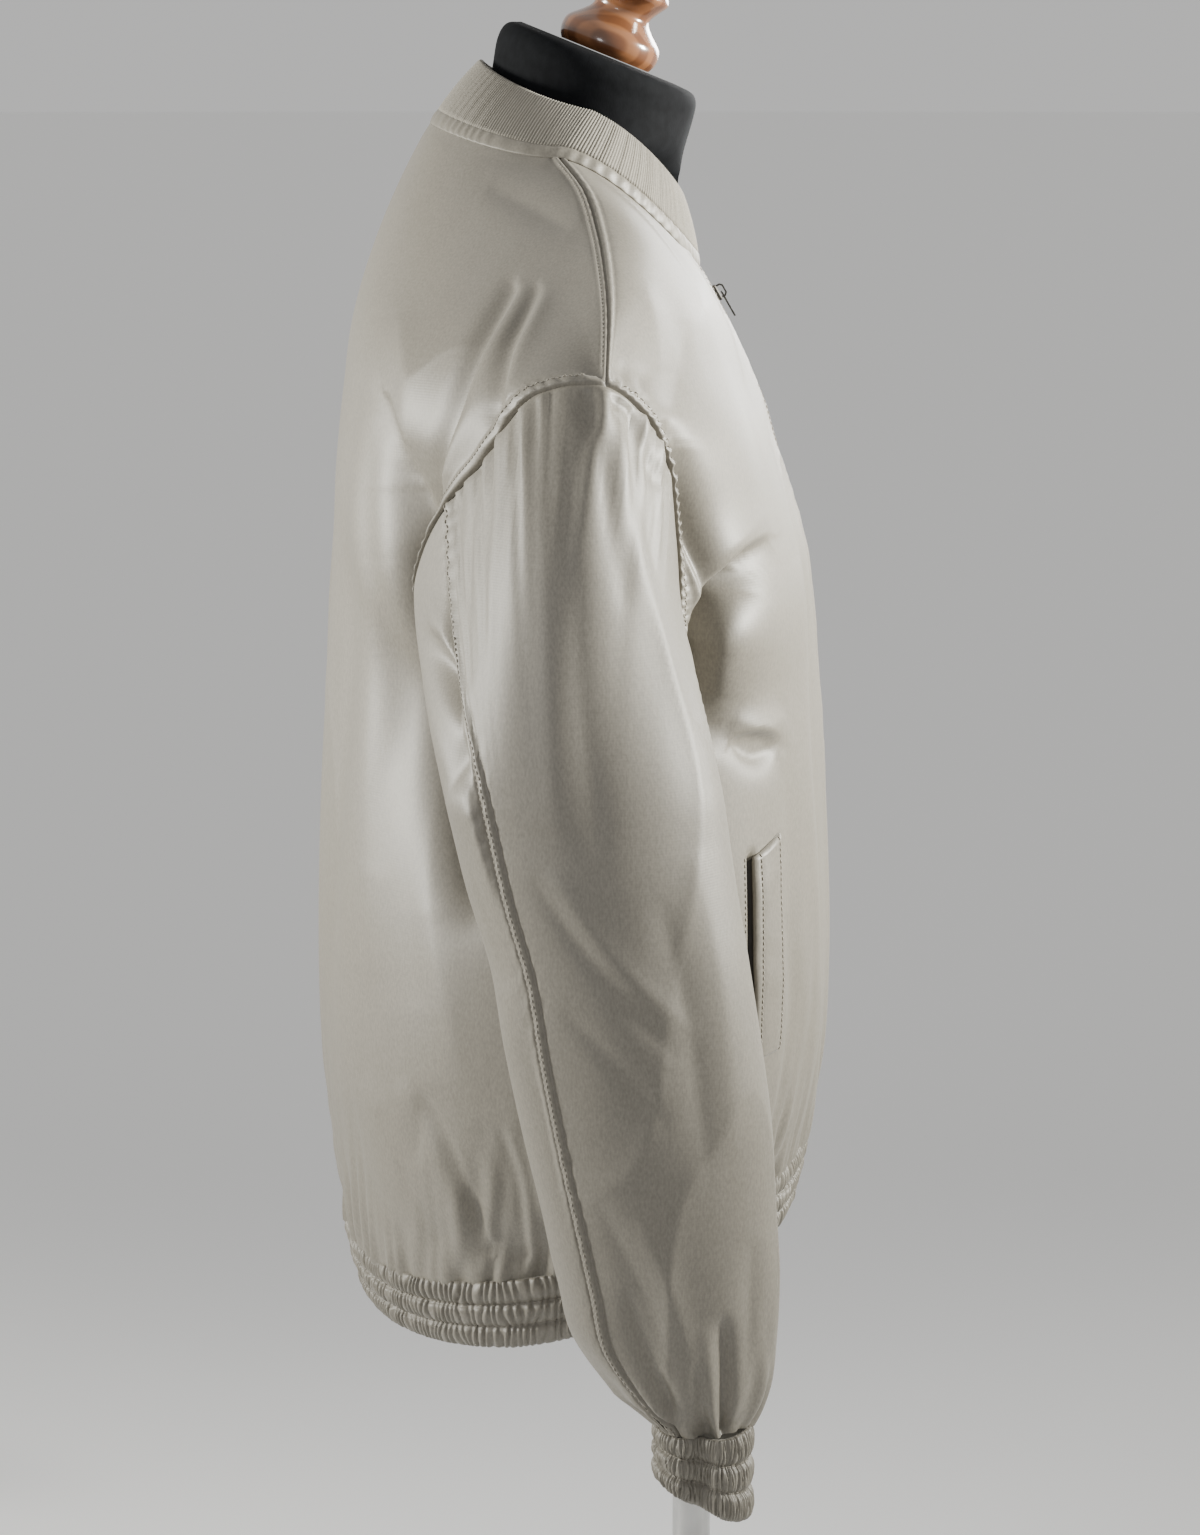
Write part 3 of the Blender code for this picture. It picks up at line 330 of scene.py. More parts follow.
# ---------------------------------------------------------------- folds
# Creases of the right side, in the photograph's pixels. depth in mm (a trough is negative),
# half width in mm, how much of it is left at its start and at its end, and its path.
CREASES = {
    "back": [
        (-34, 17, 0.3, 0.3, [(410, 480), (424, 590), (436, 690), (450, 790), (474, 900)]),
        (4, 11, 0.3, 0.2, [(402, 315), (409, 380), (404, 450)]),
        (3.0, 7, 0.2, 0.6, [(524, 300), (492, 352), (470, 414), (446, 466), (426, 516)]),
        (2.4, 5, 0.2, 0.6, [(546, 296), (520, 351), (504, 405)]),
        (-2.5, 9, 0.2, 0.2, [(487, 185), (530, 205), (570, 230)]),
        (2.0, 16, 0.2, 0.1, [(372, 560), (366, 760), (370, 980)]),
        (-2.2, 18, 0.2, 0.1, [(395, 640), (398, 800), (418, 1010)]),
        (2.2, 12, 0.1, 0.2, [(420, 760), (432, 930), (470, 1100)]),
        (-3.0, 8, 0.0, 0.7, [(346, 1090), (366, 1176), (399, 1236)]),
        (2.4, 8, 0.0, 0.6, [(362, 1080), (392, 1160), (418, 1226)]),
        (-3.8, 9, 0.0, 0.8, [(376, 1110), (404, 1180), (432, 1240)]),
        (2.6, 8, 0.0, 0.7, [(402, 1080), (440, 1160), (474, 1240)]),
        (-4.4, 10, 0.0, 0.9, [(426, 1090), (462, 1160), (497, 1250)]),
        (-2.6, 6, 0.1, 0.1, [(419, 1100), (415, 1165)]),
        (-4.6, 9, 0.0, 1.0, [(480, 1120), (503, 1190), (512, 1258)]),
        (-4.6, 8, 0.0, 1.0, [(516, 1130), (533, 1200), (543, 1268)]),
    ],
    "front": [
        (-5, 11, 0.2, 0.3, [(690, 320), (680, 380), (673, 445)]),
        (3, 9, 0.1, 0.1, [(644, 285), (654, 330), (662, 372)]),
        (-12, 14, 0.3, 0.8, [(678, 440), (688, 520), (699, 600), (704, 660)]),
        (4, 12, 0.2, 0.8, [(766, 512), (742, 536), (714, 566), (694, 598)]),
        (4, 10, 0.1, 0.2, [(748, 590), (732, 640), (724, 700)]),
        (-5, 7, 0.1, 0.2, [(732, 742), (757, 757), (778, 748)]),
        (3, 10, 0.1, 0.1, [(735, 720), (762, 730), (786, 716)]),
        (3.0, 7, 0.1, 0.3, [(783, 930), (791, 1040), (786, 1150)]),
        (-3.2, 7, 0.1, 0.5, [(792, 920), (801, 1040), (794, 1150)]),
        (2.8, 7, 0.1, 0.3, [(802, 930), (811, 1040), (803, 1140)]),
        (-2.4, 4, 0.2, 1.0, [(622, 362), (628, 386)]),
        (-2.2, 4, 0.2, 1.0, [(640, 366), (646, 396)]),
        (-3.0, 14, 0.1, 0.1, [(742, 380), (770, 470), (800, 600)]),
        (2.6, 14, 0.1, 0.1, [(712, 330), (756, 440), (790, 560)]),
    ],
    "upper": [
        (3.5, 8, 0.8, 0.0, [(602, 387), (612, 415), (621, 451), (628, 494), (637, 553), (664, 644),
                            (686, 713), (717, 778)]),
        (-3.6, 7, 0.8, 0.0, [(616, 392), (634, 450), (646, 520), (668, 610), (700, 720)]),
        (-2.8, 6, 0.9, 0.0, [(590, 388), (599, 440), (612, 520), (625, 610)]),
        (-2.6, 4, 1.0, 0.0, [(578, 388), (584, 412), (594, 437)]),
        (-4.2, 5, 0.9, 0.1, [(625, 398), (638, 430), (652, 466), (663, 490)]),
        (2.6, 5, 0.8, 0.1, [(640, 404), (652, 440), (668, 480)]),
        (3.0, 13, 0.2, 0.1, [(512, 420), (497, 470), (491, 514), (488, 664), (490, 800)]),
        (2.2, 15, 0.1, 0.1, [(545, 500), (548, 640), (556, 836)]),
        (-2.2, 12, 0.1, 0.1, [(575, 560), (582, 700), (600, 860)]),
        (-1.8, 5, 0.0, 0.0, [(532, 880), (590, 962), (678, 1060)]),
        (1.5, 6, 0.0, 0.0, [(548, 870), (612, 960), (700, 1040)]),
        (-1.6, 5, 0.0, 0.0, [(560, 1010), (610, 1060), (668, 1130)]),
        (2.2, 12, 0.0, 0.0, [(690, 850), (722, 1000), (735, 1160)]),
        (-2.0, 9, 0.0, 0.0, [(660, 900), (690, 1030), (708, 1180)]),
        (-2.6, 9, 0.0, 0.6, [(596, 1200), (640, 1290), (684, 1400)]),
        (2.4, 8, 0.0, 0.5, [(640, 1220), (676, 1310), (702, 1400)]),
        (-3.4, 7, 0.0, 0.8, [(752, 1240), (752, 1330), (742, 1425)]),
        (-9.0, 6, 0.0, 1.0, [(724, 1318), (727, 1370), (729, 1432)]),
        (3.0, 6, 0.0, 0.8, [(707, 1330), (713, 1380), (716, 1430)]),
        (-4.4, 4, 0.0, 1.0, [(697, 1365), (701, 1400), (703, 1432)]),
        (-4.0, 4, 0.0, 1.0, [(662, 1375), (668, 1405), (672, 1432)]),
        (-3.6, 7, 0.0, 0.4, [(626, 1290), (640, 1340), (660, 1390)]),
    ],
    "under": [
        (-5.0, 7, 0.4, 0.6, [(436, 655), (462, 690), (488, 728)]),
        (3.0, 8, 0.3, 0.3, [(430, 600), (452, 650), (476, 696)]),
        (-5.0, 8, 0.6, 0.3, [(488, 726), (464, 756), (446, 790)]),
        (3.2, 9, 0.3, 0.2, [(462, 790), (480, 840), (496, 900)]),
        (-2.6, 8, 0.1, 0.1, [(452, 820), (478, 900), (508, 990)]),
        (-2.0, 8, 0.1, 0.1, [(520, 1040), (548, 1130), (580, 1230)]),
    ],
}
# Folds with one crisp edge: depth in mm, half width of the soft side in mm, what is left at the
# start and at the end, and the crisp edge, from which the cloth falls away on the right of one who
# walks along it
OVERHANGS = {
    "back": [
        (-9, 9, 0.3, 0.5, [(386, 400), (396, 450), (400, 500), (404, 540), (412, 600)]),
        (-7.5, 6, 0.3, 0.6, [(512, 288), (478, 348), (456, 412), (432, 470), (412, 528)]),
        (-5.0, 5, 0.3, 0.8, [(536, 290), (508, 352), (497, 412)]),
        (-4.0, 6, 0.2, 0.9, [(418, 1090), (452, 1160), (486, 1250)]),
        (-4.0, 5, 0.2, 1.0, [(500, 1130), (516, 1190), (524, 1262)]),
    ],
    "front": [
        (-19, 15, 0.5, 0.1, [(704, 722), (699, 668), (704, 628), (722, 590), (746, 556), (770, 540)]),
        (-13, 9, 0.6, 0.0, [(700, 690), (701, 650), (706, 626), (722, 591), (742, 562)]),
        (-7, 8, 0.3, 0.1, [(716, 600), (700, 545), (688, 500), (682, 450)]),
        (-6, 9, 0.1, 0.1, [(736, 744), (757, 737), (780, 744)]),
    ],
    "upper": [],
    "under": [
        (-7, 8, 0.4, 0.5, [(438, 640), (462, 690), (486, 730)]),
    ],
}
# Soft vertical falls of cloth that the photograph's side doesn't show: x, top height, bottom
# height, lean in x, depth and half width in mm
FALLS = {
    "back": [
        (-0.118, 0.800, 0.420, 0.020, -2.6, 15), (-0.070, 0.760, 0.350, 0.010, 2.2, 17),
        (-0.028, 0.820, 0.480, -0.006, -2.0, 14), (0.020, 0.740, 0.340, 0.004, 2.6, 19),
        (0.062, 0.800, 0.400, 0.008, -2.4, 14), (0.104, 0.720, 0.345, 0.022, 2.4, 16),
        (0.138, 0.790, 0.520, 0.012, -3.4, 13), (-0.150, 0.780, 0.540, -0.010, -3.2, 12),
    ],
    "front": [
        (-0.062, 0.770, 0.460, -0.016, -2.4, 13), (-0.104, 0.700, 0.380, 0.012, 2.4, 14),
        (-0.034, 0.640, 0.372, 0.004, 2.0, 10), (0.038, 0.760, 0.400, 0.008, 2.2, 11),
        (0.070, 0.720, 0.430, 0.020, -3.0, 13), (0.112, 0.690, 0.375, -0.010, 2.4, 14),
        (-0.140, 0.600, 0.370, 0.006, -2.6, 11), (0.146, 0.640, 0.400, 0.012, -2.8, 12),
    ],
}
EDGE_RUN = 4.5             # mm over which an overhang drops
# How far sideways the cloth faces where its creases start to show, and where they are whole
SIDE_ON = {"back": (0.0, 0.35), "front": (0.16, 0.56), "upper": (0.0, 0.35), "under": (0.0, 0.35)}
HIDDEN_SHIFT = 13          # pixels by which a crease on the hidden side may lie elsewhere


def curve_through(path, count=22):
    path = np.asarray(path, float)
    return smooth(np.arange(len(path)), path, np.linspace(0, len(path) - 1, count))


def beside(points, path):
    """Flat points' distance from a path, how far along it (0 to 1), and 1 on its right, -1 on its left."""
    start, run = path[:-1], np.diff(path, axis=0)
    away = points[..., None, :] - start
    t = np.clip(np.sum(away * run, axis=-1) / np.sum(run * run, axis=-1), 0, 1)
    far = np.linalg.norm(away - t[..., None] * run, axis=-1)
    nearest = far.argmin(axis=-1)
    along = (nearest + np.take_along_axis(t, nearest[..., None], -1)[..., 0]) / len(run)
    turn = run[:, 0] * away[..., 1] - run[:, 1] * away[..., 0]
    return far.min(axis=-1), along, np.sign(np.take_along_axis(turn, nearest[..., None], -1)[..., 0])


def fade(along, start, end):
    """Strength along a fold, which swells from its start and dies towards its end."""
    body = np.sin(np.pi * np.clip(along, 0.001, 0.999)) ** 0.6
    ends = start * (1 - along) ** 2 + end * along ** 2
    return np.maximum(body, 0) * (1 - max(start, end) * 0.3) + ends * (1 - body)


def hanging_edge(far, turn, width):
    """Section of a fold with a crisp edge: it drops within EDGE_RUN and comes back softly."""
    return np.where(turn > 0, bell(far, width), 1 - step_up(far, 0, EDGE_RUN * PIXELS_PER_MM))


def creases(grid, normals, piece, side):
    """Depth of one side's creases over a grid."""
    seed = np.random.default_rng(len(piece) + 5)
    depth = np.zeros(grid.shape[:2])
    spot = in_photo(grid, side)
    facing = step_up(normals[..., 0] * side, *SIDE_ON[piece])
    facing = facing * step_up(grid[..., 0] * side, 0.02, 0.08)
    rows = [(False, row) for row in CREASES[piece]] + [(True, row) for row in OVERHANGS[piece]]
    for crisp, (amount, width, start, end, path) in rows:
        shift, strength = seed.uniform(-HIDDEN_SHIFT, HIDDEN_SHIFT, 2), seed.uniform(0.7, 1.15)
        path = curve_through(path)
        if side > 0:
            path = path + shift
            amount = amount * strength
        low, high = path.min(axis=0) - 4 * width * 2, path.max(axis=0) + 4 * width * 2
        near = np.all((spot > low) & (spot < high), axis=-1) & (facing > 0)
        far, along, turn = beside(spot[near], path)
        taper = 0.65 + 0.35 * fade(along, start, end)
        wide = width * PIXELS_PER_MM * taper
        profile = hanging_edge(far, turn, wide) if crisp else crest(far, wide)
        depth[near] += amount / 1000 * profile * fade(along, start, end) * facing[near]
    return depth


def falls(grid, normals, piece):
    depth = np.zeros(grid.shape[:2])
    facing = step_up(np.abs(normals[..., 1]), 0.30, 0.70)
    for x, top, bottom, lean, amount, width in FALLS[piece]:
        along = (top - grid[..., 2]) / (top - bottom)
        wander = 0.004 * np.sin(7 * along + 40 * x)
        away = grid[..., 0] - x - lean * along - wander
        inside = np.sin(np.pi * np.clip(along, 0, 1)) ** 0.7
        depth += amount / 1000 * bell(away, width / 1000) * inside * facing
    return depth


def gathers(grid, edge, spread, count, seed, length=(0.015, 0.07), width=(0.003, 0.008), amount=0.0028):
    """Small uneven pleats that start at a gathered edge and die out. spread is the share of the
    edge that they cover."""
    rows = reach_from(grid, 0, edge)
    along = run_along(grid[edge])
    random = np.random.default_rng(seed)
    places = np.linspace(spread[0], spread[1], count) + random.uniform(-0.45, 0.45, count) * (
        (spread[1] - spread[0]) / count)
    depth = np.zeros(grid.shape[:2])
    for place in places:
        tall, wide = random.uniform(*length), random.uniform(*width)
        deep = -amount * random.uniform(0.4, 1.0)
        lean = random.uniform(-0.18, 0.18)
        across = along[None, :] - place * along[-1] - lean * rows
        shape = bell(across, wide) - 0.5 * bell(np.abs(across) - 1.7 * wide, wide)
        depth += deep * shape * np.exp(-(rows / tall) ** 1.4)
    return depth


def puckers(along, away, pitch, reach, amount, seed):
    """Ripples across a seam, uneven in height and spacing."""
    points = np.stack([along / (pitch * 5), along * 0 + seed, along * 0], axis=-1)
    drift, swell = waves(points, 1.0, 3.1), waves(points, 0.8, 8.7)
    ripple = np.sin(2 * np.pi * (along / pitch + 1.3 * drift))
    return amount * ripple * np.clip(0.75 + swell, 0.1, 1.6) * np.exp(-(away / reach) ** 2)


def crumple(grid, seed):
    """Faint unevenness of thin cloth that hangs free, longer than it is wide."""
    long = waves(grid, np.array([16.0, 16.0, 4.5]), seed) * 0.0014
    short = waves(grid, np.array([42.0, 42.0, 17.0]), seed + 4) * 0.0003
    lean = grid @ np.array([[1.0, 0, 0.25], [0, 1.0, -0.30], [0, 0, 1.0]])
    keen = (1 - np.abs(waves(lean, np.array([15.0, 15.0, 3.6]), seed + 9))) ** 14
    where = step_up(waves(grid, np.array([9.0, 9.0, 4.0]), seed + 13), -0.05, 0.35)
    return long + short + keen * where * 0.0017


def groove(distance):
    """Section of a plain seam: the cloth turns in."""
    return -0.0011 * bell(distance, 0.0011)


def lap(distance, width, height):
    """Section of a seam's turned allowance, a low band beside it."""
    return height * (1 - step_up(distance, width - 0.0008, width + 0.0006)) * step_up(distance, 0, 0.0010)


# ---------------------------------------------------------------- meshes
def placed(name, mesh, material, nodes=()):
    """Puts a mesh in the scene as a piece, which may stand for CAD nodes."""
    mesh.shade_smooth()
    mesh.materials.append(material)
    piece = bpy.data.objects.new(name, mesh)
    bpy.context.scene.collection.objects.link(piece)
    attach(piece, BODY)
    if nodes:
        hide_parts(*nodes)
    return piece


def new_mesh(name, vertices, faces, material, nodes=()):
    mesh = bpy.data.meshes.new(name)
    vertices, faces = np.asarray(vertices, float), np.asarray(faces, int)
    size = faces.shape[1]
    mesh.vertices.add(len(vertices))
    mesh.vertices.foreach_set("co", vertices.ravel())
    mesh.loops.add(faces.size)
    mesh.loops.foreach_set("vertex_index", faces.ravel())
    mesh.polygons.add(len(faces))
    mesh.polygons.foreach_set("loop_start", np.arange(len(faces)) * size)
    mesh.update(calc_edges=True)
    mesh.validate()
    return placed(name, mesh, material, nodes)


def quads(index):
    faces = np.stack([index[:-1, :-1], index[:-1, 1:], index[1:, 1:], index[1:, :-1]], axis=-1)
    return faces.reshape(-1, 4)


def outward_quads(grid, index, normals):
    """The grid's faces, wound so that they face the way the normals point."""
    faces = quads(index)
    flat = grid.reshape(-1, 3)
    a, b, c = flat[faces[:, 0]], flat[faces[:, 1]], flat[faces[:, 3]]
    own = np.cross(b - a, c - a)
    agree = np.sum(own * normals.reshape(-1, 3)[faces[:, 0]])
    return faces if agree > 0 else faces[:, ::-1]


def shell(name, grid, normals, material, nodes=()):
    """A thin sheet of cloth over the grid's points."""
    index = np.arange(grid.shape[0] * grid.shape[1]).reshape(grid.shape[:2])
    faces = outward_quads(grid, index, normals)
    return new_mesh(name, grid.reshape(-1, 3), faces, material, nodes)


def loop_piece(name, rings, material, nodes, closed=False):
    """A closed piece from rings of points that run round its section and back to the first."""
    rings = np.asarray(rings)
    count, columns = rings.shape[:2]
    index = np.arange(count * columns).reshape(count, columns)
    index = np.concatenate([index, index[:1]], axis=0)
    if closed:
        index = np.concatenate([index, index[:, :1]], axis=1)
    faces = [tuple(face) for face in quads(index)]
    if not closed:
        for column, turn in ((0, 1), (-1, -1)):
            faces.append(tuple(int(k) for k in index[:-1, column][::turn]))
    middle = rings.reshape(-1, 3).mean(axis=0)
    flat = rings.reshape(-1, 3) - middle
    quad = np.array(faces[:(len(index) - 1) * (index.shape[1] - 1)])
    a, b, c, d = (flat[quad[:, k]] for k in range(4))
    volume = np.sum(a * np.cross(b, c)) + np.sum(a * np.cross(c, d))
    if volume < 0:
        faces = [face[::-1] for face in faces]
    mesh = bpy.data.meshes.new(name)
    mesh.from_pydata([tuple(p) for p in rings.reshape(-1, 3)], [], faces)
    return placed(name, mesh, material, nodes)


SHARP_ANGLE = math.radians(48)         # edges of turned pieces keener than this stay crisp


def lathe(name, profile, sides, place, tilt, material, nodes):
    """A piece turned about an axis that leans by tilt about X. profile is radius and height,
    from the bottom up."""
    turn = np.linspace(0, 2 * math.pi, sides + 1)[:-1]
    rings = np.array([np.column_stack([r * np.cos(turn), r * np.sin(turn), np.full(sides, h)])
                      for r, h in profile])
    cos, sin = math.cos(tilt), math.sin(tilt)
    lean = np.array([(1, 0, 0), (0, cos, -sin), (0, sin, cos)])
    rings = rings @ lean.T + np.asarray(place)
    index = np.arange(len(profile) * sides).reshape(len(profile), sides)
    index = np.concatenate([index, index[:, :1]], axis=1)
    faces = [tuple(face) for face in quads(index)]
    faces += [tuple(int(k) for k in index[0, :-1]), tuple(int(k) for k in index[-1, :-1][::-1])]
    mesh = bpy.data.meshes.new(name)
    mesh.from_pydata([tuple(p) for p in rings.reshape(-1, 3)], [], faces)
    placed(name, mesh, material, nodes)
    mesh.set_sharp_from_angle(angle=SHARP_ANGLE)


# ---------------------------------------------------------------- stitches
STITCH_LONG = 0.0023
STITCH_PITCH = 0.0031
THREAD = 0.00042           # half its width
SPINDLE = ((-0.50, 0.35, -0.9), (-0.26, 1.0, 0.0), (0.26, 1.0, 0.0), (0.50, 0.35, -0.9))


def seam_line(grid, normals, axis, end, away):
    """Points and normals that lie a set distance from an edge, measured on the cloth."""
    far = reach_from(grid, axis, end)
    if axis == 0:
        grid, normals, far = (np.swapaxes(x, 0, 1) for x in (grid, normals, far))
    if end == -1:
        grid, normals, far = grid[:, ::-1], normals[:, ::-1], far[:, ::-1]
    read = [[np.interp(away, far[k], x[k, :, c]) for c in range(3)]
            for k in range(len(far)) for x in (grid, normals)]
    read = np.array(read).reshape(len(far), 2, 3)
    return read[:, 0], unit(read[:, 1])


def stitches(name, lines, material):
    """Rows of short threads, each sunk into the cloth at its ends."""
    blocks = []
    for points, normals in lines:
        along = run_along(points)
        count = max(int(along[-1] / STITCH_PITCH), 2)
        at = (np.arange(count) + 0.5) * along[-1] / count

        spot, up = read_line(points, along, at), unit(read_line(normals, along, at))
        run = unit(read_line(points, along, at + 0.0005) - read_line(points, along, at - 0.0005))
        cross = np.cross(run, up)
        block = []
        for shift, size, sink in SPINDLE:
            centre = spot + run * shift * STITCH_LONG + up * THREAD * (0.35 + sink)
            for a, b in ((-0.8, -0.7), (0.8, -0.7), (0.8, 0.7), (-0.8, 0.7)):
                block.append(centre + (cross * a + up * b) * THREAD * size)
        blocks.append(np.stack(block, axis=1).reshape(-1, 3))
    vertices = np.concatenate(blocks)
    sides = [(r * 4 + j, r * 4 + (j + 1) % 4, r * 4 + 4 + (j + 1) % 4, r * 4 + 4 + j)
             for r in range(3) for j in range(4)]
    own = np.array(sides + [(3, 2, 1, 0), (12, 13, 14, 15)])
    starts = np.arange(len(vertices) // 16)[:, None, None] * 16
    return new_mesh(name, vertices, (own[None] + starts).reshape(-1, 4), material)


# ---------------------------------------------------------------- materials
EVEN = (1, 1, 1)


def textured(nodes, links, scale, size, detail=3.0, wave=None):
    """A texture's value: noise, or bands where wave gives their direction and distortion."""
    where = nodes.new("ShaderNodeTexCoord")
    mapping = nodes.new("ShaderNodeMapping")
    mapping.inputs["Scale"].default_value = scale
    links.new(where.outputs["Object"], mapping.inputs["Vector"])
    texture = nodes.new("ShaderNodeTexWave" if wave else "ShaderNodeTexNoise")
    if wave:
        texture.bands_direction, texture.inputs["Distortion"].default_value = wave
    texture.inputs["Scale"].default_value = size
    texture.inputs["Detail"].default_value = detail
    links.new(mapping.outputs["Vector"], texture.inputs["Vector"])
    return texture.outputs["Fac"]


def look(name, colour, roughness, metallic=0.0, shade=None, gloss=None, bumps=(), inputs=()):
    """A Principled material. shade is a texture and the two colours between which it runs, gloss a
    texture and two roughnesses, and each bump a texture, its strength and its height in metres."""
    made = bpy.data.materials.new(name)
    made.use_nodes = True
    nodes, links = made.node_tree.nodes, made.node_tree.links
    principled = nodes["Principled BSDF"]
    own = {"Base Color": (*colour, 1), "Roughness": roughness, "Metallic": metallic, **dict(inputs)}
    for socket, value in own.items():
        principled.inputs[socket].default_value = value
    if shade:
        ramp = nodes.new("ShaderNodeValToRGB")
        for stop, place, tone in zip(ramp.color_ramp.elements, (0.30, 0.70), shade[1:]):
            stop.position, stop.color = place, (*tone, 1)
        links.new(textured(nodes, links, *shade[0]), ramp.inputs["Fac"])
        links.new(ramp.outputs["Color"], principled.inputs["Base Color"])
    if gloss:
        spread = nodes.new("ShaderNodeMapRange")
        spread.inputs["To Min"].default_value, spread.inputs["To Max"].default_value = gloss[1:]
        links.new(textured(nodes, links, *gloss[0]), spread.inputs["Value"])
        links.new(spread.outputs["Result"], principled.inputs["Roughness"])
    for pattern, strength, distance in bumps:
        bump = nodes.new("ShaderNodeBump")
        bump.inputs["Strength"].default_value = strength
        bump.inputs["Distance"].default_value = distance
        links.new(textured(nodes, links, *pattern), bump.inputs["Height"])
        for link in list(principled.inputs["Normal"].links):
            links.new(link.from_socket, bump.inputs["Normal"])
        links.new(bump.outputs["Normal"], principled.inputs["Normal"])
    return made


def plain(name, colour, roughness, size):
    low, high = (tuple(c * k for c in colour) for k in (0.85, 1.15))
    return look(name, colour, roughness, shade=((EVEN, size), low, high))


SATIN = look("satin_cloth_fine", (0.178, 0.163, 0.132), 0.50,
             shade=(((900.0, 900.0, 420.0), 1.0, 4.0), (0.150, 0.137, 0.110), (0.205, 0.188, 0.153)),
             gloss=(((3.0, 3.0, 1.2), 6.0), 0.46, 0.56),
             bumps=[((EVEN, 230.0, 1.0, ("Z", 0.6)), 0.14, 0.00008),
                    (((520.0, 520.0, 90.0), 1.0, 2.0), 0.30, 0.00014),
                    (((26.0, 26.0, 8.0), 1.0), 0.10, 0.0006)],
             inputs={"Specular IOR Level": 0.65, "Sheen Weight": 0.08, "Sheen Roughness": 0.45,
                     "Anisotropic": 0.35})
RIB = look("rib_knit_fine", (0.27, 0.256, 0.212), 0.82,
           shade=((EVEN, 1500.0), (0.185, 0.170, 0.138), (0.262, 0.242, 0.200)),
           bumps=[((EVEN, 900.0, 2.0), 0.5, 0.0003)],
           inputs={"Sheen Weight": 0.15, "Sheen Roughness": 0.6})
JERSEY = look("black_jersey_fine", (0.0035, 0.0040, 0.0050), 0.85,
              shade=((EVEN, 190.0), (0.0022, 0.0026, 0.0034), (0.0050, 0.0056, 0.0068)),
              bumps=[(((1, 1, 0.5), 1100.0, 2.0), 0.35, 0.0002)], inputs={"Specular IOR Level": 0.12})
WOOD = look("turned_wood_fine", (0.20, 0.085, 0.035), 0.24,
            shade=(((1.0, 1.0, 0.12), 34.0, 1.0, ("X", 3.0)), (0.135, 0.052, 0.021), (0.225, 0.095, 0.040)),
            bumps=[(((300.0, 300.0, 40.0), 1.0, 2.0), 0.10, 0.0002)],
            inputs={"Coat Weight": 0.8, "Coat Roughness": 0.10})
STEEL = look("brushed_steel_fine", (0.56, 0.56, 0.55), 0.30, 1.0,
             shade=((EVEN, 30.0, 2.0), (0.50, 0.50, 0.49), (0.62, 0.62, 0.61)),
             bumps=[(((240.0, 12.0, 240.0), 1.0, 2.0), 0.12, 0.0001)])
ZIP = look("dark_zip_metal_fine", (0.060, 0.057, 0.052), 0.34, 0.85,
           shade=((EVEN, 420.0), (0.040, 0.038, 0.035), (0.110, 0.104, 0.094)))
THREAD_CLOTH = plain("sewing_thread", (0.225, 0.205, 0.168), 0.55, 500.0)
# Near-black, not the colour of any cloth in the jacket: painted shade for inside the pocket opening
POCKET_PAINTED_SHADE = plain("pocket_painted_shade", (0.035, 0.031, 0.026), 0.70, 300.0)
ZIP_TAPE = plain("zip_tape", (0.200, 0.188, 0.160), 0.75, 600.0)


# ---------------------------------------------------------------- body panels
BODY_MIDDLE = np.array([0.0, HEM_CENTRE_Y, 0.60])
SEAM_SHARES = (0.0, 0.0016, 0.0032, 0.0055, 0.0085, 0.0125, 0.0175, 0.0225, 0.028, 0.034)
SEAM_ROWS = (85, 140, 55)   # rows along the side seam, the armhole and the shoulder
BACK_COLUMNS = 112
FRONT_COLUMNS = 128
TUCK_BACK = 0.0012          # how far the cloth steps in and down, inside the hem band
TUCK_DROP = 0.0055
HEM_GATHERS = {"length": (0.012, 0.060), "width": (0.0028, 0.0070), "amount": 0.0030}


def panel_places():
    parts = [np.linspace(k, k + 1, rows + 1) for k, rows in enumerate(SEAM_ROWS)]
    return np.concatenate([parts[0][:-1], parts[1][:-1], parts[2]])


def panel_shares(count):
    return np.concatenate([SEAM_SHARES, np.linspace(0.042, 1, count)])


def seam_relief(grid, places, seed):
    """What a half panel's own edge does: grooves, a stitched lap and puckers."""
    away = reach_from(grid, 1, 0)
    along = np.broadcast_to(run_along(grid[:, 0])[:, None], away.shape)
    hole = (step_up(places, 0.98, 1.02) * (1 - step_up(places, 1.985, 2.015)))[:, None]
    depth = groove(away)
    depth += hole * (lap(away, 0.0076, 0.0017) - 0.0009 * bell(away - 0.0072, 0.0009))
    depth += (1 - hole) * (lap(away, 0.0045, 0.0008) - 0.0006 * bell(away - 0.0042, 0.0009))
    sewn = step_up(away, 0.0, 0.0025)
    depth += hole * sewn * puckers(along, np.abs(away - 0.0040), 0.0062, 0.0050, 0.0013, seed)
    depth += (1 - hole) * sewn * puckers(along, away, 0.0085, 0.0070, 0.00034, seed + 2)
    return depth


def pinned(grid, rows=(False, True), columns=(True, True), reach=0.009):
    """1 inside a piece, and 0 at those of its edges that are sewn to another piece."""
    hold = np.ones(grid.shape[:2])
    for axis, ends in ((0, rows), (1, columns)):
        for end, sewn in zip((0, -1), ends):
            if sewn:
                hold *= step_up(reach_from(grid, axis, end), 0.0004, reach)
    return hold


def raised(grid, normals, depth):
    """The grid moved out by a depth, with the normals that it then has."""
    moved = grid + normals * depth[..., None]
    across = np.gradient(moved, axis=1)
    own = unit(np.cross(across, np.gradient(moved, axis=0)))
    return moved, own * np.sign(np.sum(own * normals, axis=-1, keepdims=True) + 1e-9)


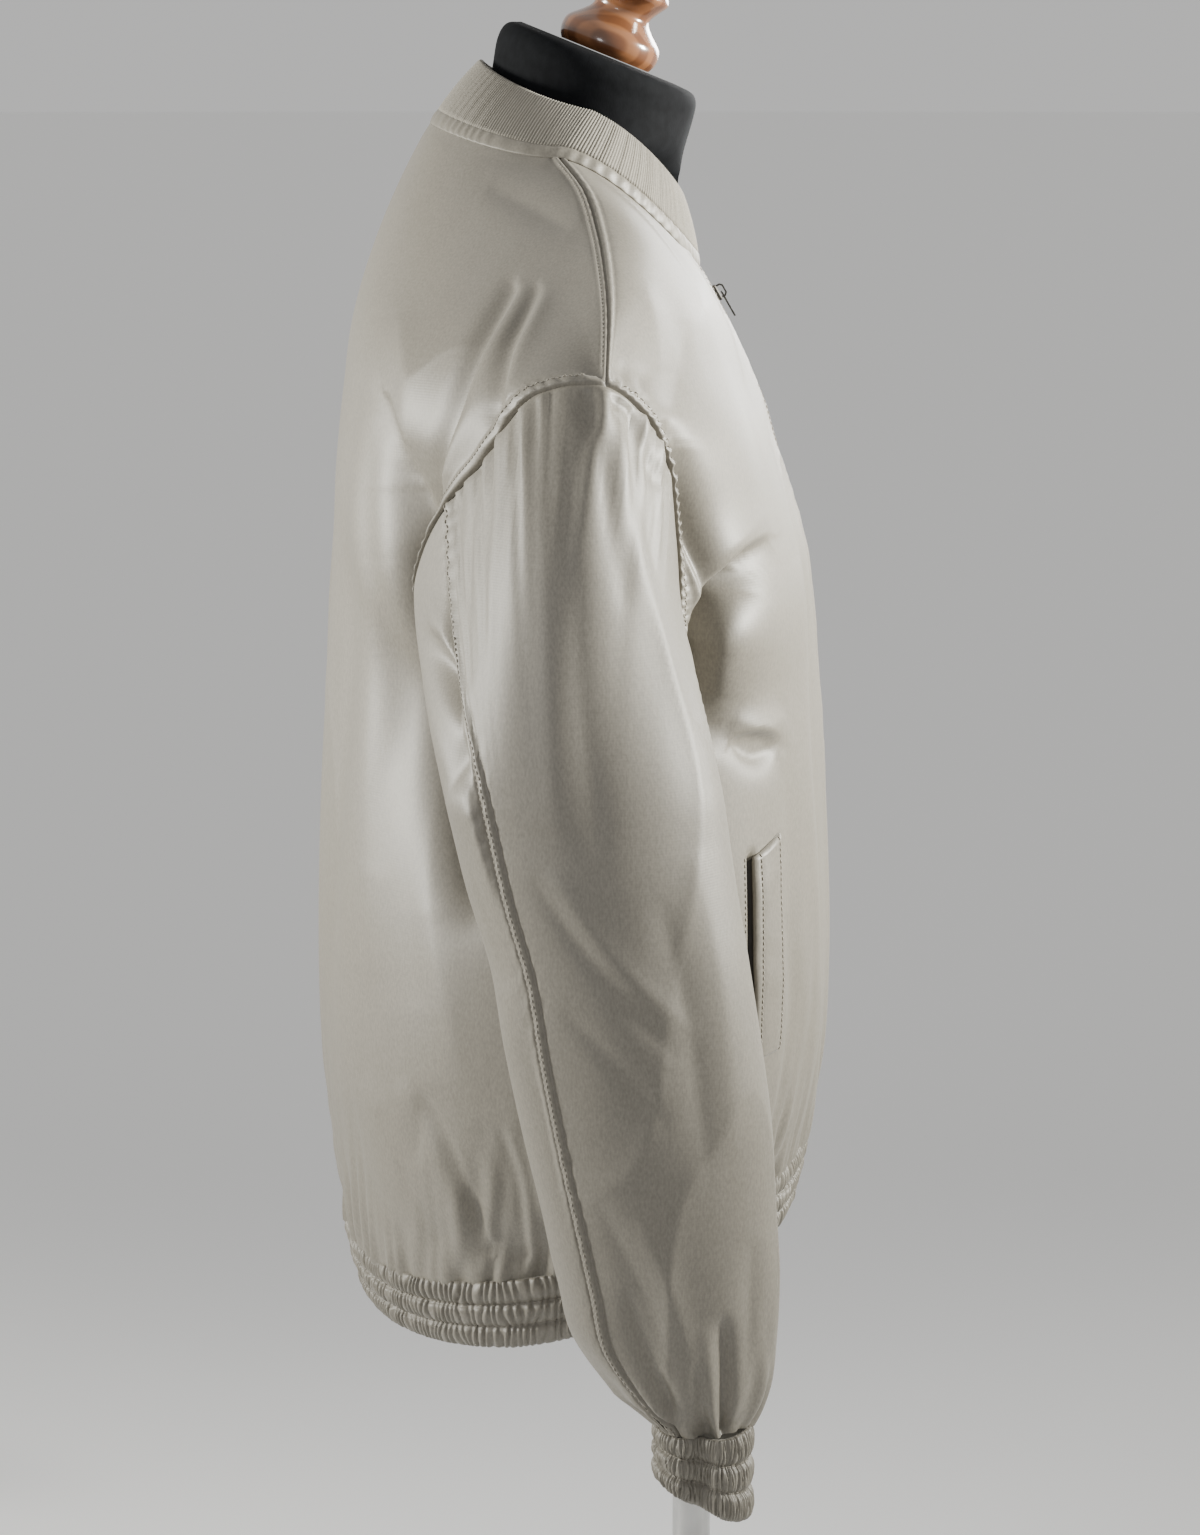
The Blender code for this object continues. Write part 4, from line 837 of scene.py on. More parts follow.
def eased(grid, passes=320, reach=0.060):
    """The grid with its rows' kinks smoothed out, except near its first column and its end rows."""
    hold = step_up(reach_from(grid, 1, 0), 0.006, reach)[..., None]
    hold = hold * step_up(reach_from(grid, 0, 0), 0.0, 0.02)[..., None]
    hold = hold * step_up(reach_from(grid, 0, -1), 0.0, 0.02)[..., None]
    for _ in range(passes):
        middle = grid.copy()
        middle[1:-1] = 0.25 * grid[:-2] + 0.5 * grid[1:-1] + 0.25 * grid[2:]
        grid = grid + (middle - grid) * hold
    return grid


def tucked(grid, base, normals):
    """The grid with one more row below, which lies inside the hem band."""
    row = base[0] - normals[0] * TUCK_BACK - (0, 0, TUCK_DROP)
    return np.concatenate([row[None], grid]), np.concatenate([normals[:1], normals])


def build_back():
    places, shares = panel_places(), panel_shares(BACK_COLUMNS)
    half = eased(panel_half(places, shares, True))
    grid = np.concatenate([half, mirrored(half)[:, -2::-1]], axis=1)
    normals = grid_normals(grid, BODY_MIDDLE)
    left, right = seam_relief(half, places, 11), seam_relief(half, places, 31)
    depth = np.concatenate([left, right[:, -2::-1]], axis=1)
    loose = crumple(grid, 5.0) + falls(grid, normals, "back")
    for side in (-1, 1):
        loose += creases(grid, normals, "back", side)
    depth += loose * pinned(grid)
    depth += gathers(grid, 0, (0.01, 0.99), 64, 7, **HEM_GATHERS) * pinned(grid, (False, False))
    moved, own = raised(grid, normals, depth)
    hung, facing = tucked(moved, grid, own)
    piece = shell("back_panel", hung, facing, SATIN, ["back"])
    return {"grid": moved, "normals": own, "places": places, "shares": shares}


POCKET_TROUGH = 0.0042      # depth of the cloth behind the welt's back edge
SLIT_LIFT = 0.00035         # of the pocket slit's near-black strip, which is painted shade, over the panel
ZIP_EDGE = 0.0066           # width of the turned edge beside the zip
WELT_PLACES = (0.345, 0.740, 0.768)     # lower end, and top at its back and front edges
WELT_SHARES = (0.450, 0.550)


def pocket_trough(places, shares):
    along = step_up(places, 0.40, 0.56) * (1 - step_up(places, 0.735, 0.755))
    return -POCKET_TROUGH * along[:, None] * bell(shares - WELT_SHARES[0] + 0.008, 0.010)[None, :]


def build_front(side, word):
    places, shares = panel_places(), panel_shares(FRONT_COLUMNS)
    grid = eased(panel_half(places, shares, False))
    grid = grid if side > 0 else mirrored(grid)
    normals = grid_normals(grid, BODY_MIDDLE)
    seed = 13 if side > 0 else 17
    edge = reach_from(grid, 1, -1)
    depth = seam_relief(grid, places, seed) + lap(edge, ZIP_EDGE, 0.0007)
    loose = crumple(grid, seed) + falls(grid, normals, "front") + creases(grid, normals, "front", side)
    depth += loose * pinned(grid) + pocket_trough(places, shares)
    depth += gathers(grid, 0, (0.01, 0.97), 30, seed, **HEM_GATHERS) * pinned(grid, (False, False))
    moved, own = raised(grid, normals, depth)
    hung, facing = tucked(moved, grid, own)
    piece = shell("front_panel_" + word, hung, facing, SATIN, ["front_" + word])
    return {"grid": moved, "normals": own, "places": places, "shares": shares}


def read_grid(values, panel, places, shares):
    """What a panel's grid of values holds at other places and shares."""
    row = np.interp(places, panel["places"], np.arange(len(panel["places"])))
    column = np.interp(shares, panel["shares"], np.arange(len(panel["shares"])))
    i = np.minimum(row.astype(int), len(panel["places"]) - 2)
    j = np.minimum(column.astype(int), len(panel["shares"]) - 2)
    u, v = (row - i)[..., None], (column - j)[..., None]
    near = (1 - v) * values[i, j] + v * values[i, j + 1]
    far = (1 - v) * values[i + 1, j] + v * values[i + 1, j + 1]
    return (1 - u) * near + u * far


# ---------------------------------------------------------------- pockets
# Section of a welt: share of its width, height over the panel
WELT_SECTION = [
    (0.000, 0.0004), (0.000, 0.0014), (0.015, 0.0022), (0.050, 0.0027), (0.110, 0.0027), (0.140, 0.0024),
    (0.170, 0.0028), (0.320, 0.0031), (0.500, 0.0032), (0.680, 0.0031), (0.830, 0.0028), (0.860, 0.0024),
    (0.890, 0.0027), (0.950, 0.0026), (0.985, 0.0021), (1.000, 0.0013), (1.000, 0.0004), (0.500, 0.0003),
]
WELT_POINTS = 110
WELT_STITCH_SHARES = (0.140, 0.860)


def welt_line(panel, share, lift):
    low, back_top, front_top = WELT_PLACES
    along = np.linspace(0, 1, WELT_POINTS)
    places = low + (back_top + (front_top - back_top) * share - low) * along
    shares = np.full(WELT_POINTS, WELT_SHARES[0] + (WELT_SHARES[1] - WELT_SHARES[0]) * share)
    flat = read_grid(panel["flat"], panel, places, shares)
    up = unit(read_grid(panel["lift"], panel, places, shares))
    ends = 0.45 + 0.55 * step_up(along, 0, 0.018) * (1 - step_up(along, 0.982, 1))
    drift = 1 + 0.16 * waves(flat, 60.0, 2.2)
    return flat + up * (lift * ends * drift)[:, None], up


def build_pocket(panel, word):
    """The welt on the panel, and behind it a near-black strip in the pocket's slit: painted shade of the
    opening, not the pocket's own cloth.
    """
    rings = np.array([welt_line(panel, share, lift)[0] for share, lift in WELT_SECTION])
    piece = loop_piece("welt_" + word, rings, SATIN, ["pocket_welt_" + word])
    places = np.linspace(0.44, WELT_PLACES[1] - 0.004, 60)[:, None] + np.zeros(5)
    narrow = np.sin(np.pi * np.linspace(0.02, 1, 60)) ** 0.35
    shares = WELT_SHARES[0] + 0.002 - 0.020 * narrow[:, None] * np.linspace(0, 1, 5)
    slit = read_grid(panel["grid"], panel, places, shares)
    lift = unit(read_grid(panel["normals"], panel, places, shares))
    # A near-black strip laid in the slit: painted shade of the pocket opening
    shell("pocket_slit_painted_shade_" + word, slit + lift * SLIT_LIFT, lift, POCKET_PAINTED_SHADE)


# ---------------------------------------------------------------- sleeves
UPPER_ANGLES = (-45, 135)
UNDER_ANGLES = (135, 315)
SLEEVE_MIDDLE = (0.28, 0.045, 0.55)     # of the left sleeve
SLEEVE_COLUMNS = 120
CAP_ROWS = 62
ARM_ROWS = 104


def crowded(count, share=0.6):
    """Places from 0 to 1 that lie closer together at both ends."""
    even = np.linspace(0, 1, count)
    return even - share * np.sin(2 * np.pi * even) / (2 * np.pi)


def sleeve_points(angles, side):
    turn = angles[0] + (angles[1] - angles[0]) * crowded(SLEEVE_COLUMNS)
    caps = np.linspace(0, 1, CAP_ROWS) ** 1.25
    grid = sleeve_grid(turn, side, caps, np.linspace(0, 1, ARM_ROWS)[1:])
    return grid, grid_normals(grid, np.array(SLEEVE_MIDDLE) * (side, 1, 1))


def sleeve_half(half, side, angles, seed, back, ripple, pleats):
    """One half of a sleeve: its plain grid, the grid with its relief, and that one's normals. back
    is the end (0 or -1) of its rows at which its back seam lies."""
    grid, normals = sleeve_points(angles, side)
    top, behind, ahead = reach_from(grid, 0, 0), reach_from(grid, 1, back), reach_from(grid, 1, -1 - back)
    depth = groove(top) + groove(ahead) + groove(behind)
    if half == "upper":
        depth += lap(behind, 0.0050, 0.0016) - 0.0010 * bell(behind - 0.0056, 0.0009)
    depth += step_up(behind, 0, 0.002) * puckers(top, behind, 0.0105, *ripple, seed)
    loose = crumple(grid, seed) + creases(grid, normals, half, side)
    depth += loose * pinned(grid, (True, False), reach=0.006)
    if half == "upper":
        cap = gathers(grid, 0, (0.40, 0.97), 30, seed, (0.012, 0.060), (0.0022, 0.0052), 0.0030)
        depth += cap * pinned(grid, (True, False), reach=0.0022)
    depth += gathers(grid, -1, (0.02, 0.98), pleats, seed, (0.010, 0.050), (0.0025, 0.0060), 0.0026)
    return grid, *raised(grid, normals, depth)


def build_upper_sleeve(side, word):
    seed = 41 if side > 0 else 43
    grid, moved, own = sleeve_half("upper", side, UPPER_ANGLES, seed, -1, (0.0075, 0.00045), 20)
    piece = shell("sleeve_outer_" + word, moved, own, SATIN, ["sleeve_upper_" + word])
    return {"grid": moved, "normals": own}


def build_under_sleeve(side, word):
    seed = 47 if side > 0 else 53
    grid, moved, own = sleeve_half("under", side, UNDER_ANGLES, seed, 0, (0.0060, 0.00040), 18)
    piece = shell("sleeve_inner_" + word, moved, own, SATIN, ["sleeve_under_" + word])


# ---------------------------------------------------------------- gathered bands
BAND_ROWS = 42
BAND_STITCH_SHARES = (0.335, 0.665)
BAND_WALL = 0.0028          # from the middle of the pleats to the plain inner side
BAND_BULGE = 0.0023
BAND_PINCH = 0.0013
PLEAT = 0.0012              # half the height of a pleat
HEM_PLEATS = 240
CUFF_PLEATS = 66
CUFF_FINER = 0.8            # size of the cuff's relief beside the hem's


def even_curve(curve, count, closed=False):
    """The curve with its points spread evenly."""
    if closed:
        curve = np.concatenate([curve, curve[:1]])
    length = run_along(curve)
    points = read_line(curve, length, np.linspace(0, length[-1], count + 1))
    return points[:-1] if closed else points


def band_height(y):
    return HEM_HEIGHT - HEM_BACK_LIFT * np.clip((y - 0.10) / 0.10, 0, 1)


def tier_height(share):
    """How far the band stands out: three soft tiers between two rows of stitches."""
    tiers = np.abs(np.sin(np.pi * np.clip((share + 0.01) / 0.3367, 0, 3)))
    pinch = sum(bell(share - row, 0.035) for row in BAND_STITCH_SHARES)
    return BAND_BULGE * tiers ** 0.8 - BAND_PINCH * pinch - 0.0009


def pleat_wave(points, share, count, seed, closed):
    """Pleats round a band at one share of its height. They wander and vary from tier to tier."""
    turn = np.arange(len(points)) / (len(points) if closed else len(points) - 1)
    tier = np.full(len(points), share * 1.6)
    ring = np.column_stack([np.cos(2 * np.pi * turn), np.sin(2 * np.pi * turn), tier])
    slow, quick = np.array([9.0, 9.0, 1.0]), np.array([31.0, 31.0, 2.2])
    drift = waves(ring, slow, seed) + 0.5 * waves(ring, quick, seed + 3)
    size = 1 + 0.75 * waves(ring, np.array([24.0, 24.0, 2.0]), seed + 7)
    phase = np.pi * (turn * count + 1.1 * drift)
    pinch = sum(bell(share - row, 0.040) for row in BAND_STITCH_SHARES)
    return (2 * np.abs(np.cos(phase)) ** 0.8 - 1) * np.clip(size, 0.25, 1.6) * (1 - 0.45 * pinch)


def gathered_band(name, place, away, pleats, seed, closed, finer, nodes):
    """A casing gathered on elastic. place gives its middle line at a share of its height."""
    rings = []
    for share in np.linspace(0, 1, BAND_ROWS):
        points = place(share)
        wave = pleat_wave(points, share, pleats, seed, closed) * PLEAT * finer
        foot = 0.0016 * step_up(share, 0.95, 1.0) ** 2
        rings.append(points + away * (wave + tier_height(share) * finer - foot)[:, None])
    outer = np.array(rings)
    for share in (0.985, 0.60, 0.25, 0.0):
        rings.append(place(share) - away * BAND_WALL * finer)
    piece = loop_piece(name, rings, SATIN, nodes, closed)
    return [(outer[int(round(share * (BAND_ROWS - 1)))], away) for share in BAND_STITCH_SHARES]


def hem_line():
    ts = np.linspace(0, 1, 160)
    back, front = (panel_half(np.zeros(1), ts, side)[0] for side in (True, False))
    left = np.concatenate([back[::-1], front[1:]])
    return np.concatenate([mirrored(left)[:0:-1], left])


def build_hem():
    seam = even_curve(hem_line(), HEM_PLEATS * 6)
    middle = np.array([0.0, HEM_CENTRE_Y, 0.0])
    away = unit((seam - middle) * (1, 1, 0))

    def place(share):
        drawn = HEM_TAPER * share ** 1.5
        points = seam - (seam - middle) * (drawn, drawn, 0)
        points[[0, -1], 0] = seam[[0, -1], 0]
        points[:, 2] -= share * band_height(seam[:, 1])
        return points

    return gathered_band("hem_gathers", place, away, HEM_PLEATS, 3.0, False, 1.0, ["hem_band"])


def build_cuff(side, word):
    angles = np.linspace(0, 360, 241)[:-1]
    seam = even_curve(arm_oval(ARM[-1, 0], angles), CUFF_PLEATS * 8, closed=True)
    middle = seam.mean(axis=0)
    following = np.roll(seam, -1, axis=0) - np.roll(seam, 1, axis=0)
    away = unit(np.column_stack([-following[:, 1], following[:, 0], np.zeros(len(seam))]))
    away *= np.sign(np.sum(away * (seam - middle)))
    turn = np.array([1 if side > 0 else -1, 1, 1])

    def place(share):
        points = seam.copy()
        points[:, 2] -= share * (CUFF_HEIGHT - (points[:, 1] - middle[1]) * CUFF_TILT)
        return points * turn

    return gathered_band("cuff_gathers_" + word, place, away * turn, CUFF_PLEATS, 21.0 + side, True,
                         CUFF_FINER, ["cuff_" + word])


# ---------------------------------------------------------------- collar
NECK_COLUMNS = 1240
NECK_STEPS = 120
RIB_PITCH = 0.0016
RIB_HEIGHT = 0.00050
RIB_WALL = 0.0026
CLOTH_WALL = 0.0016
COLLAR_SWELL = 0.0015
COLLAR_MIDDLE = np.array([0.0, 0.062, 0.86])


def neck_seam(ts, back):
    half = panel_half(np.array([3.0]), ts, back)[0]
    if not back:
        half[:, 0] += (COLLAR_END - ZIP_HALF) * ts ** 3
    return half


def collar_top(ts, back):
    side = np.array([COLLAR_SIDE])
    end = np.array([COLLAR_BACK if back else COLLAR_FRONT])
    if not back:
        end[0, 0] = COLLAR_END
    fall = end - side
    first = side + fall * (0, 0.5523, 0.25)
    second = end - fall * (0.5523, 0, 0.10)
    return arc(side, first, second, end, ts)[0]


def around_neck(curve):
    """A whole collar edge, from the right front end round the back to the left front end."""
    ts = np.linspace(0, 1, NECK_STEPS)
    left = np.concatenate([curve(ts, True)[::-1], curve(ts, False)[1:]])
    return np.concatenate([mirrored(left)[:0:-1], left])


def neck_lines():
    """The neck seam and the collar's top edge, with points that face each other."""
    seam, top = around_neck(neck_seam), around_neck(collar_top)
    middle = seam + (top - seam) * 0.6
    length = run_along(middle)
    at = np.linspace(0, length[-1], NECK_COLUMNS)
    return read_line(seam, length, at), read_line(top, length, at), at


def neck_rows(seam, top, shares):
    shares = np.asarray(shares)
    rows = seam + (top - seam) * shares[:, None, None]
    out = grid_normals(rows, COLLAR_MIDDLE)
    return rows + out * (4 * shares * (1 - shares) * COLLAR_SWELL)[:, None, None], out


def build_neck_band(seam, top, along):
    shares = np.linspace(0.0, BAND_SHARE + 0.006, 12)
    rows, out = neck_rows(seam, top, shares)
    ripple = puckers(along, along * 0, 0.0074, 1.0, 0.00030, 4.0)
    across = np.sin(np.pi * np.linspace(0, 1, 12)) ** 0.6
    outer = rows + out * (0.0007 * across[:, None] + ripple * (0.3 + 0.7 * across[:, None]))[..., None]
    rings = np.concatenate([outer, (rows - out * CLOTH_WALL)[::-4]])
    return loop_piece("neck_facing_band", rings, SATIN, ["neck_band"])


def build_collar(seam, top, along, band):
    """Double rib knit, folded over at the top, its ribs square to the edge."""
    shares = np.linspace(BAND_SHARE, 0.972, 15)
    rows, out = neck_rows(seam, top, shares)
    brim = neck_rows(seam, top, np.array([0.972, 0.99, 1.0]))[0]
    fold, wall = brim[-1] - out[-1] * RIB_WALL / 2, RIB_WALL / 2
    rise = unit(brim[-1] - brim[0])
    wander = waves(np.column_stack([along * 40, along * 0, along * 0]), 1.0, 6.0)
    rib = RIB_HEIGHT * (2 * np.abs(np.cos(np.pi * (along / RIB_PITCH + 0.5 * wander))) ** 0.75 - 1)
    rings = [row + normal * rib[:, None] for row, normal in zip(rows, out)]
    for turn in np.radians((25, 55, 90, 125, 155)):
        point = fold + out[-1] * (wall * np.cos(turn)) + rise * (wall * 0.9 * np.sin(turn) - wall)[..., None]
        rings.append(point + (out[-1] * np.cos(turn) + rise * np.sin(turn)) * rib[:, None] * 0.8)
    for k in (-1, 9, 4, 0):
        rings.append(rows[k] - out[k] * (RIB_WALL + rib[:, None] * 0.5))
    piece = loop_piece("rib_collar", rings, RIB, ["collar"])


# ---------------------------------------------------------------- zip
ZIP_TOP = 0.8440
TOOTH_PITCH = 0.0013
TOOTH = (0.0021, 0.0008, 0.0011)        # across, along and out
TAPE_BACK = 0.0011


def zip_line(count):
    seam = FRONT_CENTRE[0, 0]
    heights = np.linspace(ZIP_TOP, seam - HEM_HEIGHT, count)
    below = np.clip((seam - heights) / HEM_HEIGHT, 0, 1)
    y = smooth(FRONT_CENTRE[:, 0], FRONT_CENTRE[:, 1], np.maximum(heights, seam))
    y = y + HEM_TAPER * below ** 1.5 * (HEM_CENTRE_Y - FRONT_CENTRE[0, 1])
    line = np.column_stack([np.zeros(count), y, heights])
    along = unit(np.gradient(line, axis=0))
    out = np.cross(along, (1, 0, 0))
    return line, along, out * np.sign(-out[:, 1:2])


def build_zip():
    """Tape between both fronts, and a row of interlocking teeth on it."""
    line, _, out = zip_line(150)
    rings = [line + (x, 0, 0) - out * back for x, back in
             ((-0.0027, 0.0009), (-0.0009, 0.0007), (0.0009, 0.0007), (0.0027, 0.0009),
              (0.0027, TAPE_BACK + 0.0008), (-0.0027, TAPE_BACK + 0.0008))]
    loop_piece("zip_tape", rings, ZIP_TAPE, ["zip_chain"])
    length = np.linalg.norm(np.diff(line, axis=0), axis=1).sum()
    spot, run, up = zip_line(int(length / TOOTH_PITCH))
    side = np.where(np.arange(len(spot)) % 2 == 0, 1, -1)[:, None] * np.array([[1.0, 0, 0]])
    block = []
    for depth in (-0.5, 0.5):
        for a, b in ((-0.35, -0.5), (0.65, -0.32), (0.65, 0.32), (-0.35, 0.5)):
            block.append(spot + side * TOOTH[0] * a * 0.9 + run * TOOTH[1] * b * 2 * 0.62
                         + up * (TOOTH[2] * depth - 0.0003))
    vertices = np.stack(block, axis=1).reshape(-1, 3)
    sides = [(j, (j + 1) % 4, (j + 1) % 4 + 4, j + 4) for j in range(4)]
    own = np.array([(3, 2, 1, 0), (4, 5, 6, 7)] + sides)
    starts = np.arange(len(spot))[:, None, None] * 8
    flip = (np.arange(len(spot)) % 2 == 1)[:, None, None]
    faces = own[None] + starts
    faces = np.where(flip, faces[..., ::-1], faces)
    new_mesh("zip_teeth", vertices, faces.reshape(-1, 4), ZIP).data.shade_flat()


# ---------------------------------------------------------------- form and stand
# From the cut-off hip up to the neck cap: height and y of the section's middle, its slope,
# half width, reach to the front and back, how straight its front and back run (1 is round)
FORM = np.array([
    (0.365, 0.068, 0.00, 0.150, 0.104, 0.108, 1.00, 1.00),
    (0.380, 0.068, 0.00, 0.160, 0.110, 0.114, 0.95, 0.95),
    (0.430, 0.068, 0.00, 0.162, 0.108, 0.116, 0.92, 0.92),
    (0.500, 0.068, 0.00, 0.142, 0.096, 0.104, 0.95, 0.92),
    (0.560, 0.068, 0.00, 0.130, 0.092, 0.098, 0.97, 0.92),
    (0.630, 0.068, 0.00, 0.146, 0.104, 0.108, 0.97, 0.90),
    (0.700, 0.068, 0.00, 0.160, 0.106, 0.116, 0.97, 0.88),
    (0.760, 0.066, 0.00, 0.172, 0.090, 0.116, 1.00, 0.90),
    (0.800, 0.064, 0.00, 0.176, 0.076, 0.114, 1.10, 0.95),
    (0.838, 0.058, 0.00, 0.178, 0.052, 0.114, 1.40, 1.10),
    (0.863, 0.0565, 0.00, 0.172, 0.044, 0.108, 1.80, 1.30),
    (0.8772, 0.0575, 0.00, 0.1575, 0.046, 0.098, 2.10, 1.50),
    (0.8890, 0.0610, 0.02, 0.1340, 0.050, 0.085, 2.60, 1.70),
    (0.8985, 0.0660, 0.05, 0.1070, 0.0555, 0.0685, 2.70, 1.60),
    (0.9060, 0.0670, 0.10, 0.0760, 0.0575, 0.0570, 1.80, 1.35),
    (0.9200, 0.0625, 0.16, 0.060, 0.0550, 0.0550, 1.00, 1.00),
    (0.9420, 0.0590, 0.24, 0.0560, 0.0565, 0.0535, 1.00, 1.00),
    (0.9550, 0.0580, 0.32, 0.0555, 0.0570, 0.0515, 1.00, 1.00),
    (0.9620, 0.0570, 0.37, 0.0520, 0.0535, 0.0475, 1.00, 1.00),
    (0.9645, 0.0565, 0.40, 0.0440, 0.0440, 0.0400, 1.00, 1.00),
])
FORM_SIDES = 112
FORM_ROWS = 96
END_SIZE = 0.02             # of the small rings that close the form's ends
CAP_SLOPE = 0.40
CAP_CENTRE = (0.0, 0.0510, 0.9625)
# Finial, turned about the neck's leaning axis: radius and height over the cap
FINIAL = np.array([
    (0.0010, 0.0760), (0.0080, 0.0755), (0.0150, 0.0725), (0.0195, 0.0670), (0.0210, 0.0600),
    (0.0195, 0.0530), (0.0165, 0.0470), (0.0175, 0.0440), (0.0215, 0.0400), (0.0225, 0.0365),
    (0.0200, 0.0325), (0.0165, 0.0270), (0.0165, 0.0235), (0.0200, 0.0195), (0.0265, 0.0135),
    (0.0280, 0.0085), (0.0275, 0.0040), (0.0255, 0.0003),
])
POLE_RADIUS = 0.0110
SOCKET = [(0.016, 0.037), (0.0195, 0.0345), (0.021, 0.030)]
BASE_RADIUS = 0.2160
BASE_THICK = 0.0060


def build_form():
    table = smooth(np.arange(len(FORM)), FORM, np.linspace(0, len(FORM) - 1, FORM_ROWS))
    turn = np.linspace(0, 2 * math.pi, FORM_SIDES + 1)[:-1]
    rows = []
    for z, y, slope, wide, front, back, front_power, back_power in table:
        ahead = np.cos(turn) > 0
        power = np.where(ahead, front_power, back_power)
        x = wide * np.sign(np.sin(turn)) * np.abs(np.sin(turn)) ** power
        dy = -np.where(ahead, front, back) * np.sign(np.cos(turn)) * np.abs(np.cos(turn)) ** power
        rows.append(np.column_stack([x, y + dy, z + slope * dy]))
    rows = np.array(rows)
    middles = [row.mean(axis=1, keepdims=True) for row in (rows[:1], rows[-1:])]
    low, high = (middle + (row - middle) * END_SIZE for middle, row in zip(middles, (rows[:1], rows[-1:])))
    loop_piece("jersey_form", np.concatenate([low, rows, high]), JERSEY, ["form_body"],
               closed=True)


def build_stand():
    at = np.linspace(0, len(FINIAL) - 1, 86)
    profile = smooth(np.arange(len(FINIAL)), FINIAL, at)
    profile[:, 0] = np.maximum(profile[:, 0], 0.0008)
    lathe("turned_finial", profile[::-1], 72, CAP_CENTRE, math.atan(CAP_SLOPE), WOOD,
          ["neck_finial"])
    shaft = [(SOCKET[-1][0], BASE_THICK + 0.0003)] + SOCKET[::-1]
    shaft += [(POLE_RADIUS, 0.040), (POLE_RADIUS, 0.3647)]
    lathe("steel_pole", shaft, 48, (0, 0, 0), 0.0, STEEL, ["stand_pole"])
    plate = [(BASE_RADIUS, 0.0), (BASE_RADIUS, 0.0045), (0.2156, 0.0054), (0.2145, BASE_THICK),
             (0.1000, BASE_THICK), (0.0220, BASE_THICK)]
    lathe("steel_base", plate, 128, (0, 0, 0), 0.0, STEEL, ["stand_base"])


# ---------------------------------------------------------------- sewing
HOLE_STITCH = 0.0072        # from the armhole seam to its topstitching
SHOULDER_STITCH = 0.0042
SLEEVE_STITCHES = (0.0016, 0.0046)


def panel_stitches(panel, back):
    """Topstitching round the armhole, and along the shoulder or the zip's edge."""
    places, lines = panel["places"], []
    hole = (places > 1.02) & (places < 1.985)
    top = (places > 2.02) & (places < 2.98)
    grid, normals = panel["grid"], panel["normals"]
    for end in ((0, -1) if back else (0,)):
        spot, up = seam_line(grid, normals, 1, end, HOLE_STITCH)
        lines.append((spot[hole], up[hole]))
        if back:
            spot, up = seam_line(grid, normals, 1, end, SHOULDER_STITCH)
            lines.append((spot[top], up[top]))
    if not back:
        lines.append(seam_line(grid, normals, 1, -1, ZIP_EDGE))
    return lines


def sleeve_stitches(panel):
    return [seam_line(panel["grid"], panel["normals"], 1, -1, away) for away in SLEEVE_STITCHES]


def welt_stitches(panel):
    lines = [welt_line(panel, share, 0.0027) for share in WELT_STITCH_SHARES]
    places = np.linspace(0.60, 0.742, 40)
    beside_slit = np.full(40, WELT_SHARES[0] - 0.030)
    spot = read_grid(panel["grid"], panel, places, beside_slit)
    lines.append((spot, unit(read_grid(panel["normals"], panel, places, beside_slit))))
    return lines


# ---------------------------------------------------------------- the garment
def build_garment():
    back = build_back()
    lines = panel_stitches(back, True)
    for side, word in ((-1, "right"), (1, "left")):
        front = build_front(side, word)
        flat = panel_half(front["places"], front["shares"], False)
        trough = pocket_trough(front["places"], front["shares"])[..., None]
        front["flat"] = front["grid"] - front["normals"] * trough
        front["lift"] = grid_normals(flat if side > 0 else mirrored(flat), BODY_MIDDLE)
        build_pocket(front, word)
        upper = build_upper_sleeve(side, word)
        build_under_sleeve(side, word)
        lines += panel_stitches(front, False) + sleeve_stitches(upper) + welt_stitches(front)
        lines += build_cuff(side, word)
    lines += build_hem()
    stitches("topstitching", lines, THREAD_CLOTH)
    seam, top, along = neck_lines()
    build_collar(seam, top, along, build_neck_band(seam, top, along))
    build_zip()
    for node in ("zip_slider", "zip_pull_tab"):
        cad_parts[node].data.materials.clear()
        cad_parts[node].data.materials.append(ZIP)


build_garment()
build_form()
build_stand()


# ---------------------------------------------------------------- stage, light and camera
FLOOR_REACH = 60.0          # so wide that it meets the pale sky at the horizon
FLOOR_DROP = 0.0005
FLOOR_SIDES = 64


